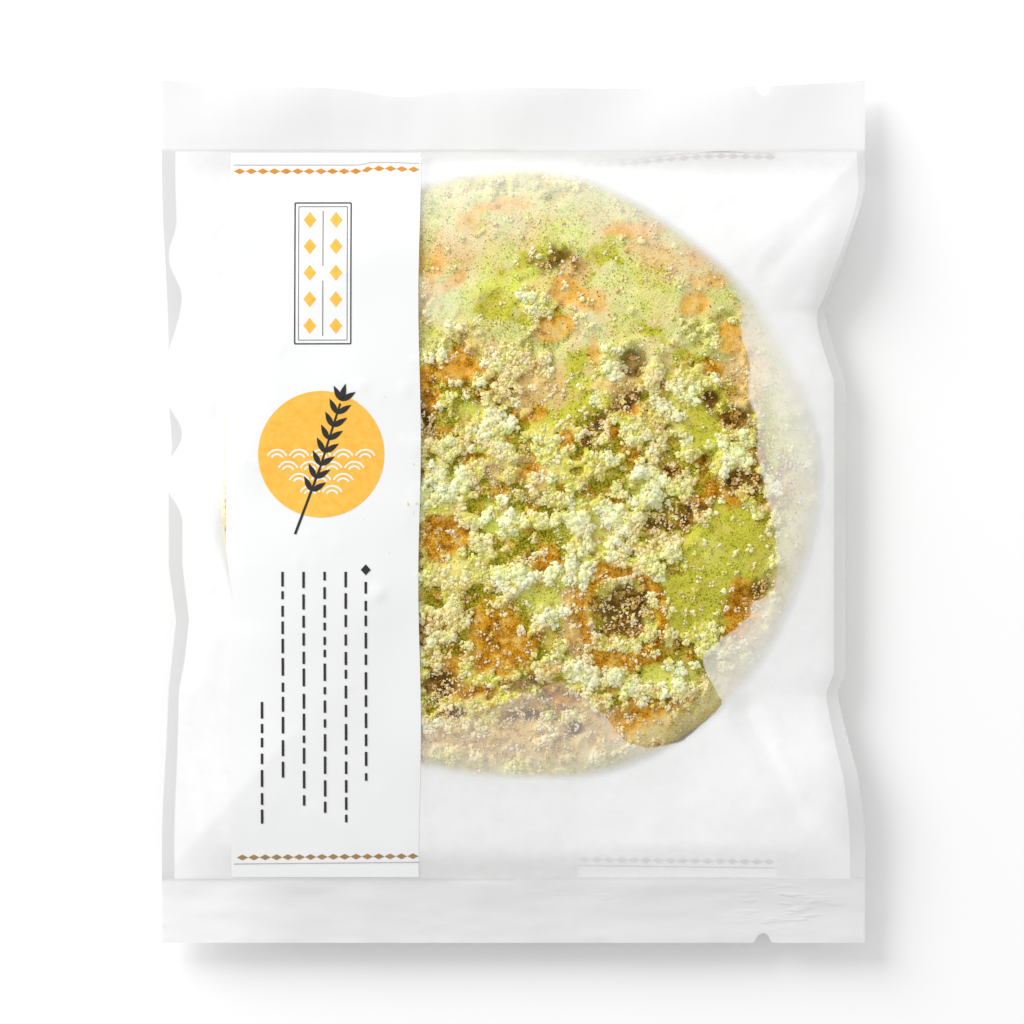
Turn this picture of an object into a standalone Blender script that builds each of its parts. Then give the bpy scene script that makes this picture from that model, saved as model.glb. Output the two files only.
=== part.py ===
"""A large grilled rice cracker shut in a clear pillow bag, lying on its back seam.

The bag is one closed body: the film's outer surface drawn tight over the cracker,
a crimped seal at each end, and the fin of the long seam folded flat underneath.
Metres, +Z up, +X across the bag, +Y towards the top seal. The origin is the centre
of the bag's plan, on the surface that it lies on.
"""

import bmesh
import bpy
import numpy as np

MM = 0.001

# The flat bag. Both ends are crimped shut, and the sides are plain folds.
BAG_WIDTH = 140.6 * MM
BAG_LENGTH = 172.6 * MM
TOP_SEAL_LENGTH = 14.4 * MM
BOTTOM_SEAL_LENGTH = 13.0 * MM
SEAL_THICKNESS = 0.6 * MM

# Heights of the two end seals and of the side folds over the table.
TOP_SEAL_HEIGHT = 6.0 * MM
BOTTOM_SEAL_HEIGHT = 6.4 * MM
SIDE_FOLD_HEIGHT = 5.4 * MM
BOTTOM_SEAL_DROOP = 0.9 * MM

# The right side fold is puffed up beside each end of the cracker: y and rise.
PUFFS = [(54.0 * MM, 2.4 * MM), (-52.0 * MM, 2.0 * MM)]
PUFF_REACH = 17.0 * MM

# The long back seam is a fin, folded over and pressed flat by the cracker's weight.
FIN_LEFT = -4.1 * MM
FIN_RIGHT = 12.7 * MM
FIN_THICKNESS = 0.3 * MM
FIN_STEP = 0.15 * MM

# A nick at each end, on one line, where the bag is torn open: narrow, with steep
# sides and a pointed roof.
NICK_X = 50.0 * MM
NICK_HALF_WIDTH = 1.7 * MM
NICK_SHOULDER = 0.5 * MM
NICK_DEPTH = 2.1 * MM
NICK_ROOF_SLOPE = 0.6

# The cracker under the film: a round slab with soft shoulders.
CRACKER_X = 0.4 * MM
CRACKER_Y = 6.3 * MM
SHOULDER_RADIUS = 48.5 * MM
FOOT_RADIUS = 53.0 * MM
CROWN_HEIGHT = 11.2 * MM

# Puffed blisters that lift the film: x, y, radius and rise.
BLISTERS = [
    (25.0 * MM, 42.0 * MM, 12.0 * MM, 0.9 * MM),
    (2.0 * MM, 46.0 * MM, 11.0 * MM, 0.8 * MM),
    (17.0 * MM, 12.0 * MM, 14.0 * MM, 1.5 * MM),
    (38.0 * MM, -7.0 * MM, 12.0 * MM, 1.6 * MM),
    (5.0 * MM, -17.0 * MM, 13.0 * MM, 1.1 * MM),
    (-24.0 * MM, 20.0 * MM, 15.0 * MM, 1.2 * MM),
    (-30.0 * MM, -14.0 * MM, 14.0 * MM, 1.0 * MM),
]

# The sides are drawn in where the film climbs over the cracker.
WAIST_HALF_LENGTH = 32.0 * MM
WAIST_TAPER = 36.0 * MM
WAIST_RIGHT = 3.9 * MM
WAIST_LEFT = 1.3 * MM

# Sharp tucks in the side folds: side (+1 right), y, depth, reach up and reach down.
TUCKS = [
    (1, 40.1 * MM, 4.8 * MM, 24.0 * MM, 14.0 * MM),
    (1, -36.5 * MM, 1.7 * MM, 4.0 * MM, 16.0 * MM),
    (-1, 13.3 * MM, 0.7 * MM, 9.0 * MM, 7.0 * MM),
    (-1, -21.7 * MM, 1.5 * MM, 11.0 * MM, 14.0 * MM),
]

# Straight creases in the front film: start x and y, end x and y, half width, height.
CREASES = [
    (51.0 * MM, 48.0 * MM, 67.0 * MM, 65.0 * MM, 3.0 * MM, -0.45 * MM),
    (-68.0 * MM, 17.0 * MM, -57.0 * MM, 18.0 * MM, 4.5 * MM, -0.8 * MM),
    (46.5 * MM, -40.0 * MM, 57.5 * MM, -60.5 * MM, 3.8 * MM, -0.9 * MM),
    (-60.0 * MM, -22.0 * MM, -66.0 * MM, -40.0 * MM, 5.0 * MM, 0.7 * MM),
]

# Grid of the film: cells across and along the pocket, and along each seal.
CELLS_ACROSS = 34
CELLS_ALONG_POCKET = 42
CELLS_ALONG_SEAL = 5

HALF_WIDTH = BAG_WIDTH / 2
HALF_LENGTH = BAG_LENGTH / 2
TOP_SEAM_Y = HALF_LENGTH - TOP_SEAL_LENGTH
BOTTOM_SEAM_Y = -HALF_LENGTH + BOTTOM_SEAL_LENGTH


def smooth(value):
    """A ramp from 0 to 1 with level ends."""
    value = np.clip(value, 0, 1)
    return value * value * (3 - 2 * value)


def clear_scene():
    for obj in list(bpy.data.objects):
        bpy.data.objects.remove(obj, do_unlink=True)


def side_edge(y, side):
    """Distance of a side fold from the bag's centre line: half the width, less the
    waist, which is level beside the cracker and tapers to the seals, less the tucks."""
    waist = WAIST_RIGHT if side > 0 else WAIST_LEFT
    taper = smooth((WAIST_HALF_LENGTH + WAIST_TAPER - np.abs(y)) / WAIST_TAPER)
    inset = waist * taper
    for tuck_side, tuck_y, depth, reach_up, reach_down in TUCKS:
        if tuck_side == side:
            reach = np.where(y > tuck_y, reach_up, reach_down)
            inset = inset + depth * np.clip(1 - np.abs(y - tuck_y) / reach, 0, 1)
    return HALF_WIDTH - inset


def drawn_in(x, y):
    """The x that a column of the flat film takes once its side is drawn in. The fin
    and everything nearer the middle keep their place."""
    fixed = 20.0 * MM
    right = (side_edge(y, 1) - fixed) / (HALF_WIDTH - fixed)
    left = (side_edge(y, -1) - fixed) / (HALF_WIDTH - fixed)
    outward = np.maximum(np.abs(x) - fixed, 0)
    return x + np.sign(x) * outward * (np.where(x > 0, right, left) - 1)


def end_edge(x, end):
    """Distance of an end's cut edge from the bag's middle. The top edge curls, so
    that it dips in the middle, and both ends have the nick."""
    away = np.abs(x - NICK_X)
    opened = np.clip((NICK_HALF_WIDTH - away) / NICK_SHOULDER, 0, 1)
    nick = (NICK_DEPTH - NICK_ROOF_SLOPE * away) * opened
    if end < 0:
        return HALF_LENGTH - nick
    dip = 1.7 * MM * (1 - (x / HALF_WIDTH) ** 4)
    pinch = 1.8 * MM * np.exp(-(((x + 22 * MM) / (9 * MM)) ** 2))
    return HALF_LENGTH - dip - pinch - nick


def seam_height(x, y):
    """Height of the closed rim of the bag: side folds that are level but for two
    puffs on the right, a wave along the curled top seal, and a bottom seal that
    droops and levels out."""
    to_top = smooth((y - 30 * MM) / (TOP_SEAM_Y - 30 * MM))
    to_bottom = smooth((-y - 40 * MM) / (-BOTTOM_SEAM_Y - 40 * MM))
    height = SIDE_FOLD_HEIGHT + (TOP_SEAL_HEIGHT - SIDE_FOLD_HEIGHT) * to_top
    height = height + (BOTTOM_SEAL_HEIGHT - SIDE_FOLD_HEIGHT) * to_bottom
    past_seam = smooth((y - TOP_SEAM_Y) / TOP_SEAL_LENGTH)
    wave = 0.9 * MM * np.sin(2 * np.pi * (x + 8 * MM) / (46 * MM))
    curl = 1.8 * MM * np.exp(-(((x + 22 * MM) / (16 * MM)) ** 2))
    hang = np.clip((BOTTOM_SEAM_Y - y) / BOTTOM_SEAL_LENGTH, 0, 1)
    droop = BOTTOM_SEAL_DROOP * (1 - (1 - hang) ** 2)
    puffed = 0
    for puff_y, rise in PUFFS:
        puffed = puffed + rise * smooth(1 - np.abs(y - puff_y) / PUFF_REACH)
    puffed = puffed * smooth((x - 30 * MM) / (30 * MM))
    return height + (wave + curl) * past_seam - droop + puffed


def cracker_outline(angle):
    """The cracker's radius over its mean one: round, with the unevenness of dough."""
    lobes = 0.012 * np.cos(2 * angle + 2.6) + 0.009 * np.cos(3 * angle + 0.7)
    return 1 + lobes + 0.007 * np.cos(5 * angle - 1.1) + 0.004 * np.cos(9 * angle)


def toward_seam(x, y, radius):
    """How far a point lies from a ring about the cracker to the bag's rim, along the
    ray from the cracker's centre: 0 on the ring and inside it, 1 on the rim."""
    across = x - CRACKER_X
    along = y - CRACKER_Y
    right = side_edge(y, 1) - CRACKER_X
    left = side_edge(y, -1) + CRACKER_X
    up = TOP_SEAM_Y - CRACKER_Y
    down = CRACKER_Y - BOTTOM_SEAM_Y
    box = np.maximum(
        np.abs(across) / np.where(across > 0, right, left),
        np.abs(along) / np.where(along > 0, up, down),
    )
    box = np.clip(box, 0, 1)
    angle = np.arctan2(along, across)
    ring = np.hypot(across, along) / (radius * cracker_outline(angle))
    outside = ring > 1
    ring = np.where(outside, ring, 2.0)
    return np.where(outside, box * (ring - 1) / (ring - box), 0)


def crown(x, y):
    """The film where it lies on the cracker: nearly level, and lifted by blisters."""
    out = np.hypot(x - CRACKER_X, y - CRACKER_Y) / SHOULDER_RADIUS
    height = CROWN_HEIGHT - 0.7 * MM * np.clip(out, 0, 1.2) ** 2
    for blister_x, blister_y, radius, rise in BLISTERS:
        away = np.hypot(x - blister_x, y - blister_y) / radius
        height = height + rise * np.exp(-(away**2))
    return height


def creases(x, y):
    """Straight ridges and valleys, highest along each crease and fading to its ends."""
    height = np.zeros_like(x)
    for x_0, y_0, x_1, y_1, half_width, rise in CREASES:
        length_squared = (x_1 - x_0) ** 2 + (y_1 - y_0) ** 2
        share = ((x - x_0) * (x_1 - x_0) + (y - y_0) * (y_1 - y_0)) / length_squared
        share = np.clip(share, 0, 1)
        away = np.hypot(x - x_0 - share * (x_1 - x_0), y - y_0 - share * (y_1 - y_0))
        height = height + rise * np.clip(1 - away / half_width, 0, 1)
    return height


def front_height(x, y):
    """The front film: on the cracker out to its shoulder, then down to the rim in a
    slightly swollen slope. The creases die out at the rim."""
    share = toward_seam(x, y, SHOULDER_RADIUS)
    rim = seam_height(x, y) + SEAL_THICKNESS / 2
    slope = 1 - share**1.25
    return rim + (crown(x, y) - rim) * slope + creases(x, y) * np.minimum(slope, 0.8)


def back_height(x, y):
    """The back film: on the table under the cracker's foot, then up to the rim. The
    fin hangs its own thickness lower over its whole length."""
    share = toward_seam(x, y, FOOT_RADIUS)
    rim = seam_height(x, y) - SEAL_THICKNESS / 2
    film = FIN_THICKNESS + (rim - FIN_THICKNESS) * share**1.15
    in_fin = np.minimum(x - FIN_LEFT, FIN_RIGHT - x) / FIN_STEP
    in_pocket = (y < TOP_SEAM_Y - 0.1 * MM) & (y > BOTTOM_SEAM_Y + 0.1 * MM)
    return film - FIN_THICKNESS * np.clip(in_fin, 0, 1) * in_pocket


def column_stations():
    """Where the film's columns stand across the flat bag: evenly, with more at the
    fin's edges and at the nick's corners."""
    even = np.linspace(-HALF_WIDTH, HALF_WIDTH, CELLS_ACROSS + 1)
    fin = [FIN_LEFT, FIN_LEFT + FIN_STEP, FIN_RIGHT - FIN_STEP, FIN_RIGHT]
    inner = NICK_HALF_WIDTH - NICK_SHOULDER
    nick = [-NICK_HALF_WIDTH, -inner, 0, inner, NICK_HALF_WIDTH]
    special = np.array(fin + [NICK_X + offset for offset in nick])
    room = BAG_WIDTH / CELLS_ACROSS / 3
    spaced = np.abs(even[:, None] - special[None, :]).min(axis=1) > room
    return np.sort(np.concatenate([even[spaced], special]))


def row_stations():
    """Where the film's rows lie along the bag, as shares: -2 to -1 in the bottom
    seal, -1 to 1 in the pocket and 1 to 2 in the top seal."""
    pocket = np.linspace(-1, 1, CELLS_ALONG_POCKET + 1)
    seal = np.linspace(1, 2, CELLS_ALONG_SEAL + 1)[1:]
    return np.concatenate([-seal[::-1], pocket, seal])


def row_y(share, x):
    """The y of a row at x. Rows in a seal spread out to that end's cut edge."""
    middle = (TOP_SEAM_Y + BOTTOM_SEAM_Y) / 2
    pocket = middle + np.clip(share, -1, 1) * (TOP_SEAM_Y - BOTTOM_SEAM_Y) / 2
    above = np.clip(share - 1, 0, 1) * (end_edge(x, 1) - TOP_SEAM_Y)
    below = np.clip(-share - 1, 0, 1) * (end_edge(x, -1) + BOTTOM_SEAM_Y)
    return pocket + above - below


def film_material():
    material = bpy.data.materials.new("frosted_film")
    material.use_nodes = True
    shader = material.node_tree.nodes["Principled BSDF"]
    shader.inputs["Base Color"].default_value = (0.93, 0.94, 0.92, 1)
    shader.inputs["Roughness"].default_value = 0.34
    shader.inputs["Metallic"].default_value = 0.0
    shader.inputs["Alpha"].default_value = 0.55
    return material


def build_bag(collection):
    """A grid of the film is extruded into a slab, whose two faces then take the
    heights of the front and the back film. They meet at the rim in a narrow wall."""
    columns = column_stations()
    rows = row_stations()
    sheet = bmesh.new()
    bmesh.ops.create_grid(
        sheet, x_segments=len(columns) - 1, y_segments=len(rows) - 1, size=0.5
    )
    raised = bmesh.ops.extrude_face_region(sheet, geom=list(sheet.faces))
    raised_verts = [v for v in raised["geom"] if isinstance(v, bmesh.types.BMVert)]
    bmesh.ops.translate(sheet, verts=raised_verts, vec=(0, 0, 1))

    mesh = bpy.data.meshes.new("sealed_bag")
    sheet.to_mesh(mesh)
    sheet.free()
    places = np.empty(len(mesh.vertices) * 3)
    mesh.vertices.foreach_get("co", places)
    places = places.reshape(-1, 3)
    column = np.rint((places[:, 0] + 0.5) * (len(columns) - 1)).astype(int)
    row = np.rint((places[:, 1] + 0.5) * (len(rows) - 1)).astype(int)
    is_front = places[:, 2] > 0.5

    flat_x = columns[column]
    y = row_y(rows[row], flat_x)
    x = drawn_in(flat_x, y)
    z = np.where(is_front, front_height(x, y), back_height(x, y))
    mesh.vertices.foreach_set("co", np.column_stack([x, y, z]).ravel())

    closed = bmesh.new()
    closed.from_mesh(mesh)
    bmesh.ops.recalc_face_normals(closed, faces=closed.faces)
    closed.to_mesh(mesh)
    closed.free()
    mesh.shade_smooth()
    mesh.set_sharp_from_angle(angle=np.radians(40))
    mesh.materials.append(film_material())

    bag = bpy.data.objects.new("sealed_bag", mesh)
    collection.objects.link(bag)
    return bag


def build_all():
    clear_scene()
    collection = bpy.data.collections.new("wrapped_rice_cracker")
    bpy.context.scene.collection.children.link(collection)
    build_bag(collection)


build_all()
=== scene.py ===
"""The looks of an individually wrapped grilled rice cracker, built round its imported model.

The bag's solid is replaced by a film with its print, by the back seam's fin and by the
cracker with its seasoning. Shapes are worked out in millimetres, in the frame's axes:
+X across the bag, +Y towards the top seal, +Z up from the table.
"""

import bpy
import numpy as np
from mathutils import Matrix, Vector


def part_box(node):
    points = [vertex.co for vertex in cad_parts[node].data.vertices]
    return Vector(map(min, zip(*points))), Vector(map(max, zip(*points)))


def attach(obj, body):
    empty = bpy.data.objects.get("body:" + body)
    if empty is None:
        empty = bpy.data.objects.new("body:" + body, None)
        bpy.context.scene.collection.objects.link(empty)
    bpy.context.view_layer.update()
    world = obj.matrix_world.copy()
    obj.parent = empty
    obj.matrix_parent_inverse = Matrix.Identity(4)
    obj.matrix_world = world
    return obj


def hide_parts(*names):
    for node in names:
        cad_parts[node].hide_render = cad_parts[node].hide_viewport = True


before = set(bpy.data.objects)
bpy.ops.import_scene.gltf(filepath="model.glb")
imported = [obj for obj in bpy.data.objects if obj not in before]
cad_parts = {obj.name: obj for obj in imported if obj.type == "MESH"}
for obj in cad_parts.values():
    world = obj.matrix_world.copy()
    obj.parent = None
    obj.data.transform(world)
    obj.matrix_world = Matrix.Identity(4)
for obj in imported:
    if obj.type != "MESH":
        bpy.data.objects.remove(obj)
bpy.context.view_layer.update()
MM = 0.001
bag_low, bag_high = (np.array(corner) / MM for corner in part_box("sealed_bag"))


# ---------------------------------------------------------------- the form of the bag
# A pillow bag drawn tight over the cracker: side folds at mid height, a crimped seal at
# each end, the front film on the cracker's crown and the back film on the table.
HALF_WIDTH = (bag_high[0] - bag_low[0]) / 2
HALF_LENGTH = (bag_high[1] - bag_low[1]) / 2
TOP_SEAM_Y = HALF_LENGTH - 14.4
BOTTOM_SEAM_Y = -HALF_LENGTH + 13.0
TOP_SEAL_HEIGHT, BOTTOM_SEAL_HEIGHT, SIDE_FOLD_HEIGHT = 6.0, 6.4, 5.4
SHOULDER_RADIUS, FOOT_RADIUS, CROWN_HEIGHT = 48.5, 53.0, 11.2
CRACKER_X, CRACKER_Y, CRACKER_RADIUS = 0.4, 6.3, 60.9
FIN_LEFT, FIN_RIGHT, FIN_THICKNESS = -4.1, 12.7, 0.3

# x, y, radius and rise of the puffed blisters under the film
BLISTERS = [
    (25, 42, 12, 0.9), (2, 46, 11, 0.8), (17, 12, 14, 1.5), (38, -7, 12, 1.6),
    (5, -17, 13, 1.1), (-24, 20, 15, 1.2), (-30, -14, 14, 1.0),
]
# side, y, depth, reach up and reach down of the tucks in the side folds
TUCKS = [
    (1, 40.1, 4.8, 24, 14), (1, -36.5, 1.7, 4, 16),
    (-1, 13.3, 0.7, 9, 7), (-1, -21.7, 1.5, 11, 14),
]


def smooth(value):
    """A ramp from 0 to 1 with level ends: v squared times (3 - 2v)."""
    value = np.clip(value, 0, 1)
    return value * value * (3 - 2 * value)


def side_edge(y, side):
    """Half the width, less a waist that tapers to the seals, less the tucks."""
    waist = 3.9 if side > 0 else 1.3
    inset = waist * smooth((68 - np.abs(y)) / 36)
    for tuck_side, tuck_y, depth, up, down in TUCKS:
        if tuck_side == side:
            reach = np.where(y > tuck_y, up, down)
            inset = inset + depth * np.clip(1 - np.abs(y - tuck_y) / reach, 0, 1)
    return HALF_WIDTH - inset


def side_scale(x, y):
    """How much the film beyond 20 mm from the middle is drawn in, as a share."""
    edge = np.where(x > 0, side_edge(y, 1), side_edge(y, -1))
    return (edge - 20) / (HALF_WIDTH - 20)


def drawn_in(x, y):
    """The x that a column of the flat film takes once its side is drawn in."""
    return x + np.sign(x) * np.maximum(np.abs(x) - 20, 0) * (side_scale(x, y) - 1)


def laid_flat(x, y):
    """The flat film's column at x: the inverse of drawn_in."""
    return x + np.sign(x) * np.maximum(np.abs(x) - 20, 0) * (1 / side_scale(x, y) - 1)


def end_edge(x, end):
    """Half the length, less the tear nick, less the dip and pinch of the curled top."""
    nick = (2.1 - 0.6 * np.abs(x - 50)) * np.clip((1.7 - np.abs(x - 50)) / 0.5, 0, 1)
    if end < 0:
        return HALF_LENGTH - nick
    dip = 1.7 * (1 - (x / HALF_WIDTH) ** 4)
    pinch = 1.8 * np.exp(-(((x + 22) / 9) ** 2))
    return HALF_LENGTH - dip - pinch - nick


def seam_height(x, y):
    """The closed rim: level side folds, puffed up in two places on the right, rising
    to the top seal and its waves, and a bottom seal that droops and levels out."""
    to_top = smooth((y - 30) / (TOP_SEAM_Y - 30))
    to_bottom = smooth((-y - 40) / (-BOTTOM_SEAM_Y - 40))
    height = SIDE_FOLD_HEIGHT + (TOP_SEAL_HEIGHT - SIDE_FOLD_HEIGHT) * to_top
    height = height + (BOTTOM_SEAL_HEIGHT - SIDE_FOLD_HEIGHT) * to_bottom
    past_seam = smooth((y - TOP_SEAM_Y) / 14.4)
    wave = 0.9 * np.sin(2 * np.pi * (x + 8) / 46)
    curl = 1.8 * np.exp(-(((x + 22) / 16) ** 2))
    droop = 0.9 * (1 - (1 - np.clip((BOTTOM_SEAM_Y - y) / 13.0, 0, 1)) ** 2)
    puffed = 2.4 * smooth(1 - np.abs(y - 54) / 17) + 2.0 * smooth(1 - np.abs(y + 52) / 17)
    return height + (wave + curl) * past_seam - droop + puffed * smooth((x - 30) / 30)


def outline(angle):
    """The cracker's radius over its mean one: round, with the unevenness of dough."""
    lobes = 0.012 * np.cos(2 * angle + 2.6) + 0.009 * np.cos(3 * angle + 0.7)
    return 1 + lobes + 0.007 * np.cos(5 * angle - 1.1) + 0.004 * np.cos(9 * angle)


def from_centre(x, y):
    """Distance from the cracker's centre over its outline, and the angle."""
    angle = np.arctan2(y - CRACKER_Y, x - CRACKER_X)
    return np.hypot(x - CRACKER_X, y - CRACKER_Y) / outline(angle), angle


def toward_seam(x, y, radius):
    """0 on a ring about the cracker and inside it, 1 on the bag's rim, by rays."""
    across, along = x - CRACKER_X, y - CRACKER_Y
    right, left = side_edge(y, 1) - CRACKER_X, side_edge(y, -1) + CRACKER_X
    up, down = TOP_SEAM_Y - CRACKER_Y, CRACKER_Y - BOTTOM_SEAM_Y
    box = np.maximum(
        np.abs(across) / np.where(across > 0, right, left),
        np.abs(along) / np.where(along > 0, up, down),
    )
    box = np.clip(box, 0, 1)
    ring = from_centre(x, y)[0] / radius
    outside = ring > 1
    ring = np.where(outside, ring, 2.0)
    return np.where(outside, box * (ring - 1) / (ring - box), 0)


def crown(x, y):
    """The level of the film on the cracker: nearly flat, lifted by the blisters."""
    out = np.hypot(x - CRACKER_X, y - CRACKER_Y) / SHOULDER_RADIUS
    height = CROWN_HEIGHT - 0.7 * np.clip(out, 0, 1.2) ** 2
    for blister_x, blister_y, radius, rise in BLISTERS:
        away = np.hypot(x - blister_x, y - blister_y) / radius
        height = height + rise * np.exp(-(away**2))
    return height


def front_form(x, y):
    """The front film before it meets the granules: crown, then a swollen slope."""
    slope = 1 - toward_seam(x, y, SHOULDER_RADIUS) ** 1.25
    rim = seam_height(x, y)
    return rim + (crown(x, y) - rim) * slope


def back_form(x, y):
    """The back film: on the table under the cracker's foot, then up to the rim."""
    share = toward_seam(x, y, FOOT_RADIUS)
    return FIN_THICKNESS + (seam_height(x, y) - FIN_THICKNESS) * share**1.15


# ------------------------------------------------------------------------ the cracker
# Grilled rice dough: a round slab with soft shoulders, burst and sunken blisters, an
# amber soy glaze where it shows, scorched spots, and a crust of pale green seasoning.
def value_noise(x, y, cell, seed):
    """Smooth noise from 0 to 1: random lattice values, blended with level ends."""
    lattice = np.random.default_rng(seed).random((64, 64))
    u, v = x / cell + 512.3, y / cell + 512.7
    i, j = np.floor(u).astype(int), np.floor(v).astype(int)
    s, t = smooth(u - i), smooth(v - j)
    low = lattice[i % 64, j % 64] * (1 - s) + lattice[(i + 1) % 64, j % 64] * s
    high = lattice[i % 64, (j + 1) % 64] * (1 - s) + lattice[(i + 1) % 64, (j + 1) % 64] * s
    return low * (1 - t) + high * t


def rough_noise(x, y, cell, seed):
    """Three octaves of value_noise, from about -1 to 1."""
    total = value_noise(x, y, cell, seed) + 0.5 * value_noise(x, y, cell / 2.1, seed + 1)
    return (total + 0.25 * value_noise(x, y, cell / 4.3, seed + 2)) / 0.875 - 1


def pebbles(x, y, cell, seed):
    """Closely packed round grains: 1 at a grain's middle, 0 a cell away from it, with
    one jittered grain in each square of the lattice and a random height for each."""
    draws = np.random.default_rng(seed).random((3, 128, 128))
    u, v = x / cell + 640, y / cell + 640
    i, j = np.floor(u).astype(int), np.floor(v).astype(int)
    best = np.zeros_like(u)
    for di in (-1, 0, 1):
        for dj in (-1, 0, 1):
            a, b = (i + di) % 128, (j + dj) % 128
            away = np.hypot(i + di + draws[0, a, b] - u, j + dj + draws[1, a, b] - v)
            best = np.maximum(best, (1 - away) * (0.55 + 0.45 * draws[2, a, b]))
    return best


def inside(x, y, places, ragged, cell, seed):
    """Above 0 within any of the ellipses (x, y, half width, half height, turn in
    degrees, strength): the largest of strength times (1 - distance over radius),
    with the border roughened by noise."""
    best = np.full_like(x, -1.0)
    for place_x, place_y, half_x, half_y, turn, strength in places:
        c, s = np.cos(np.radians(turn)), np.sin(np.radians(turn))
        along = ((x - place_x) * c + (y - place_y) * s) / half_x
        across = ((y - place_y) * c - (x - place_x) * s) / half_y
        best = np.maximum(best, strength * (1 - np.hypot(along, across)))
    return best + ragged * rough_noise(x, y, cell, seed)


# Where the surface is smooth, dusted with fine green powder
POWDER = [
    (-8, 53, 20, 15, 10, 0.9), (18, 50, 22, 17, -15, 0.9), (24, 34, 11, 10, 0, 0.5),
    (42.7, -7.5, 10, 9.5, 0, 1.3), (38, -17, 9, 4, -10, 1.1), (25, 46, 8, 9, 20, 1.2),
    (31, 39, 5, 5, 0, 1), (-4, 43, 9, 5, 35, 1.1), (-1, 37, 6, 5, 0, 1), (37.9, 19, 5, 7, 0, 0.6),
    (13, 54, 14, 7, 0, 1.2), (-12, 52, 8, 8, 40, 0.9), (-14, 40, 4, 9, -25, 0.9),
    (14, 30, 5, 7, -30, 0.9), (9, 21, 7, 5, 20, 0.5), (2, 59, 14, 4, 0, 1), (30, 55, 10, 5, -30, 1),
    (40, 46, 8, 6, -45, 0.9), (54, 20, 6, 16, 10, 1), (57, -6, 4, 14, 0, 1), (50, 36, 6, 8, 40, 1),
    (8, -17, 5, 3, 0, 0.3), (28, -33, 4, 3, 0, 0.4), (36, -20, 7, 4, 0, 0.8), (-40, 10, 10, 14, 0, 0.8),
]
# Where the powder is thick and bright lime
LIME = [
    (27, 44, 7, 9, 20, 1), (11.3, 54.9, 8, 4, 0, 1), (-8, 45, 10, 4, 48, 1.1), (-13, 40, 4, 8, -20, 0.9),
    (-6.1, 18.3, 6, 4, 0, 0.9), (33.7, 16.3, 3, 4, 0, 0.9), (-13.7, 5.1, 6, 4, 0, 0.8),
    (16, -4, 8, 7, 0, 1), (26, 5, 6, 7, 0, 0.6), (20, 32, 5, 8, -30, 0.7), (4, 47, 9, 5, 20, 0.8),
    (19, -33, 9, 5, -15, 0.9), (30, -34, 8, 5, 0, 0.8), (7, -21, 5, 5, 0, 0.8), (26, -51, 10, 4, -15, 0.9),
    (43, 11, 5, 6, 0, 0.6), (31, 22, 6, 4, 0, 0.6), (-14, 33, 4, 5, 0, 0.5), (26, -14, 7, 3, 20, 0.8),
    (42, -9, 6, 6, 0, 0.5), (-1, -2, 6, 5, 0, 0.8), (0, -14, 5, 4, 0, 0.5), (11, -12, 6, 4, 0, 0.5), (55, 12, 4, 10, 0, 0.6),
]
# Where the amber glaze shows
GLAZE = [
    (-3, -26, 9, 8, -20, 1.2), (-12, -34, 5, 5, 0, 0.7), (-13.7, -5.7, 6.5, 6, 0, 0.9),
    (7.1, -9.9, 4, 3, 30, 0.8), (46.3, -18.3, 4.5, 6, -20, 1.2), (36.1, 41.3, 4, 3.4, 20, 1.2),
    (39.1, 46, 5, 3, 0, 0.8), (43.4, 34.5, 3, 3.4, 0, 1.3), (40.3, 28.5, 2, 1.6, 0, 1),
    (10.3, 43.9, 3, 4, 40, 1.1), (8.3, 36.9, 4.4, 3, 10, 1.4), (14.9, 42.1, 4, 2.5, 0, 0.8),
    (-9, 57.5, 5, 4, 40, 0.7), (-3, 61, 9, 2, 5, 0.7), (-12.3, 45.7, 4, 1.4, 38, 1),
    (-11, 28.3, 6, 4, 0, 0.9), (27, 56.3, 4, 2.5, 0, 1), (36, 51, 5, 3, -35, 0.9), (21.5, 56, 4, 2, 0, 1),
    (13, -20, 3, 9, 4, 0.5), (21.7, -29.5, 8, 2.6, 0, 1), (19, -12, 5, 2.5, 0, 0.9), (36.9, 1.5, 2, 2, 0, 1.3),
    (28, -42, 9, 4.5, -30, 1), (34, -42, 5, 5, 0, 0.8), (24, -45, 6, 3, -20, 0.8), (16, 33, 2, 5, -10, 0.6),
    (10.7, 14.7, 2.4, 2.4, 0, 0.7), (3.5, 7.9, 3, 2, 0, 0.8), (19.5, 16, 2.4, 1.6, 0, 0.9),
    (22.8, 20.2, 3, 2, 0, 0.9), (4, 19, 4, 1.4, 25, 0.9), (-16, 47, 3, 8, -12, 0.6), (-17, 24, 3, 9, 0, 0.5),
    (-8, -36, 8, 2.2, 8, 0.8), (42, 3, 5, 3, 0, 0.5), (45, -24, 5, 3, 40, 0.8), (14, -36, 9, 2, 10, 0.5),
]
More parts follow.
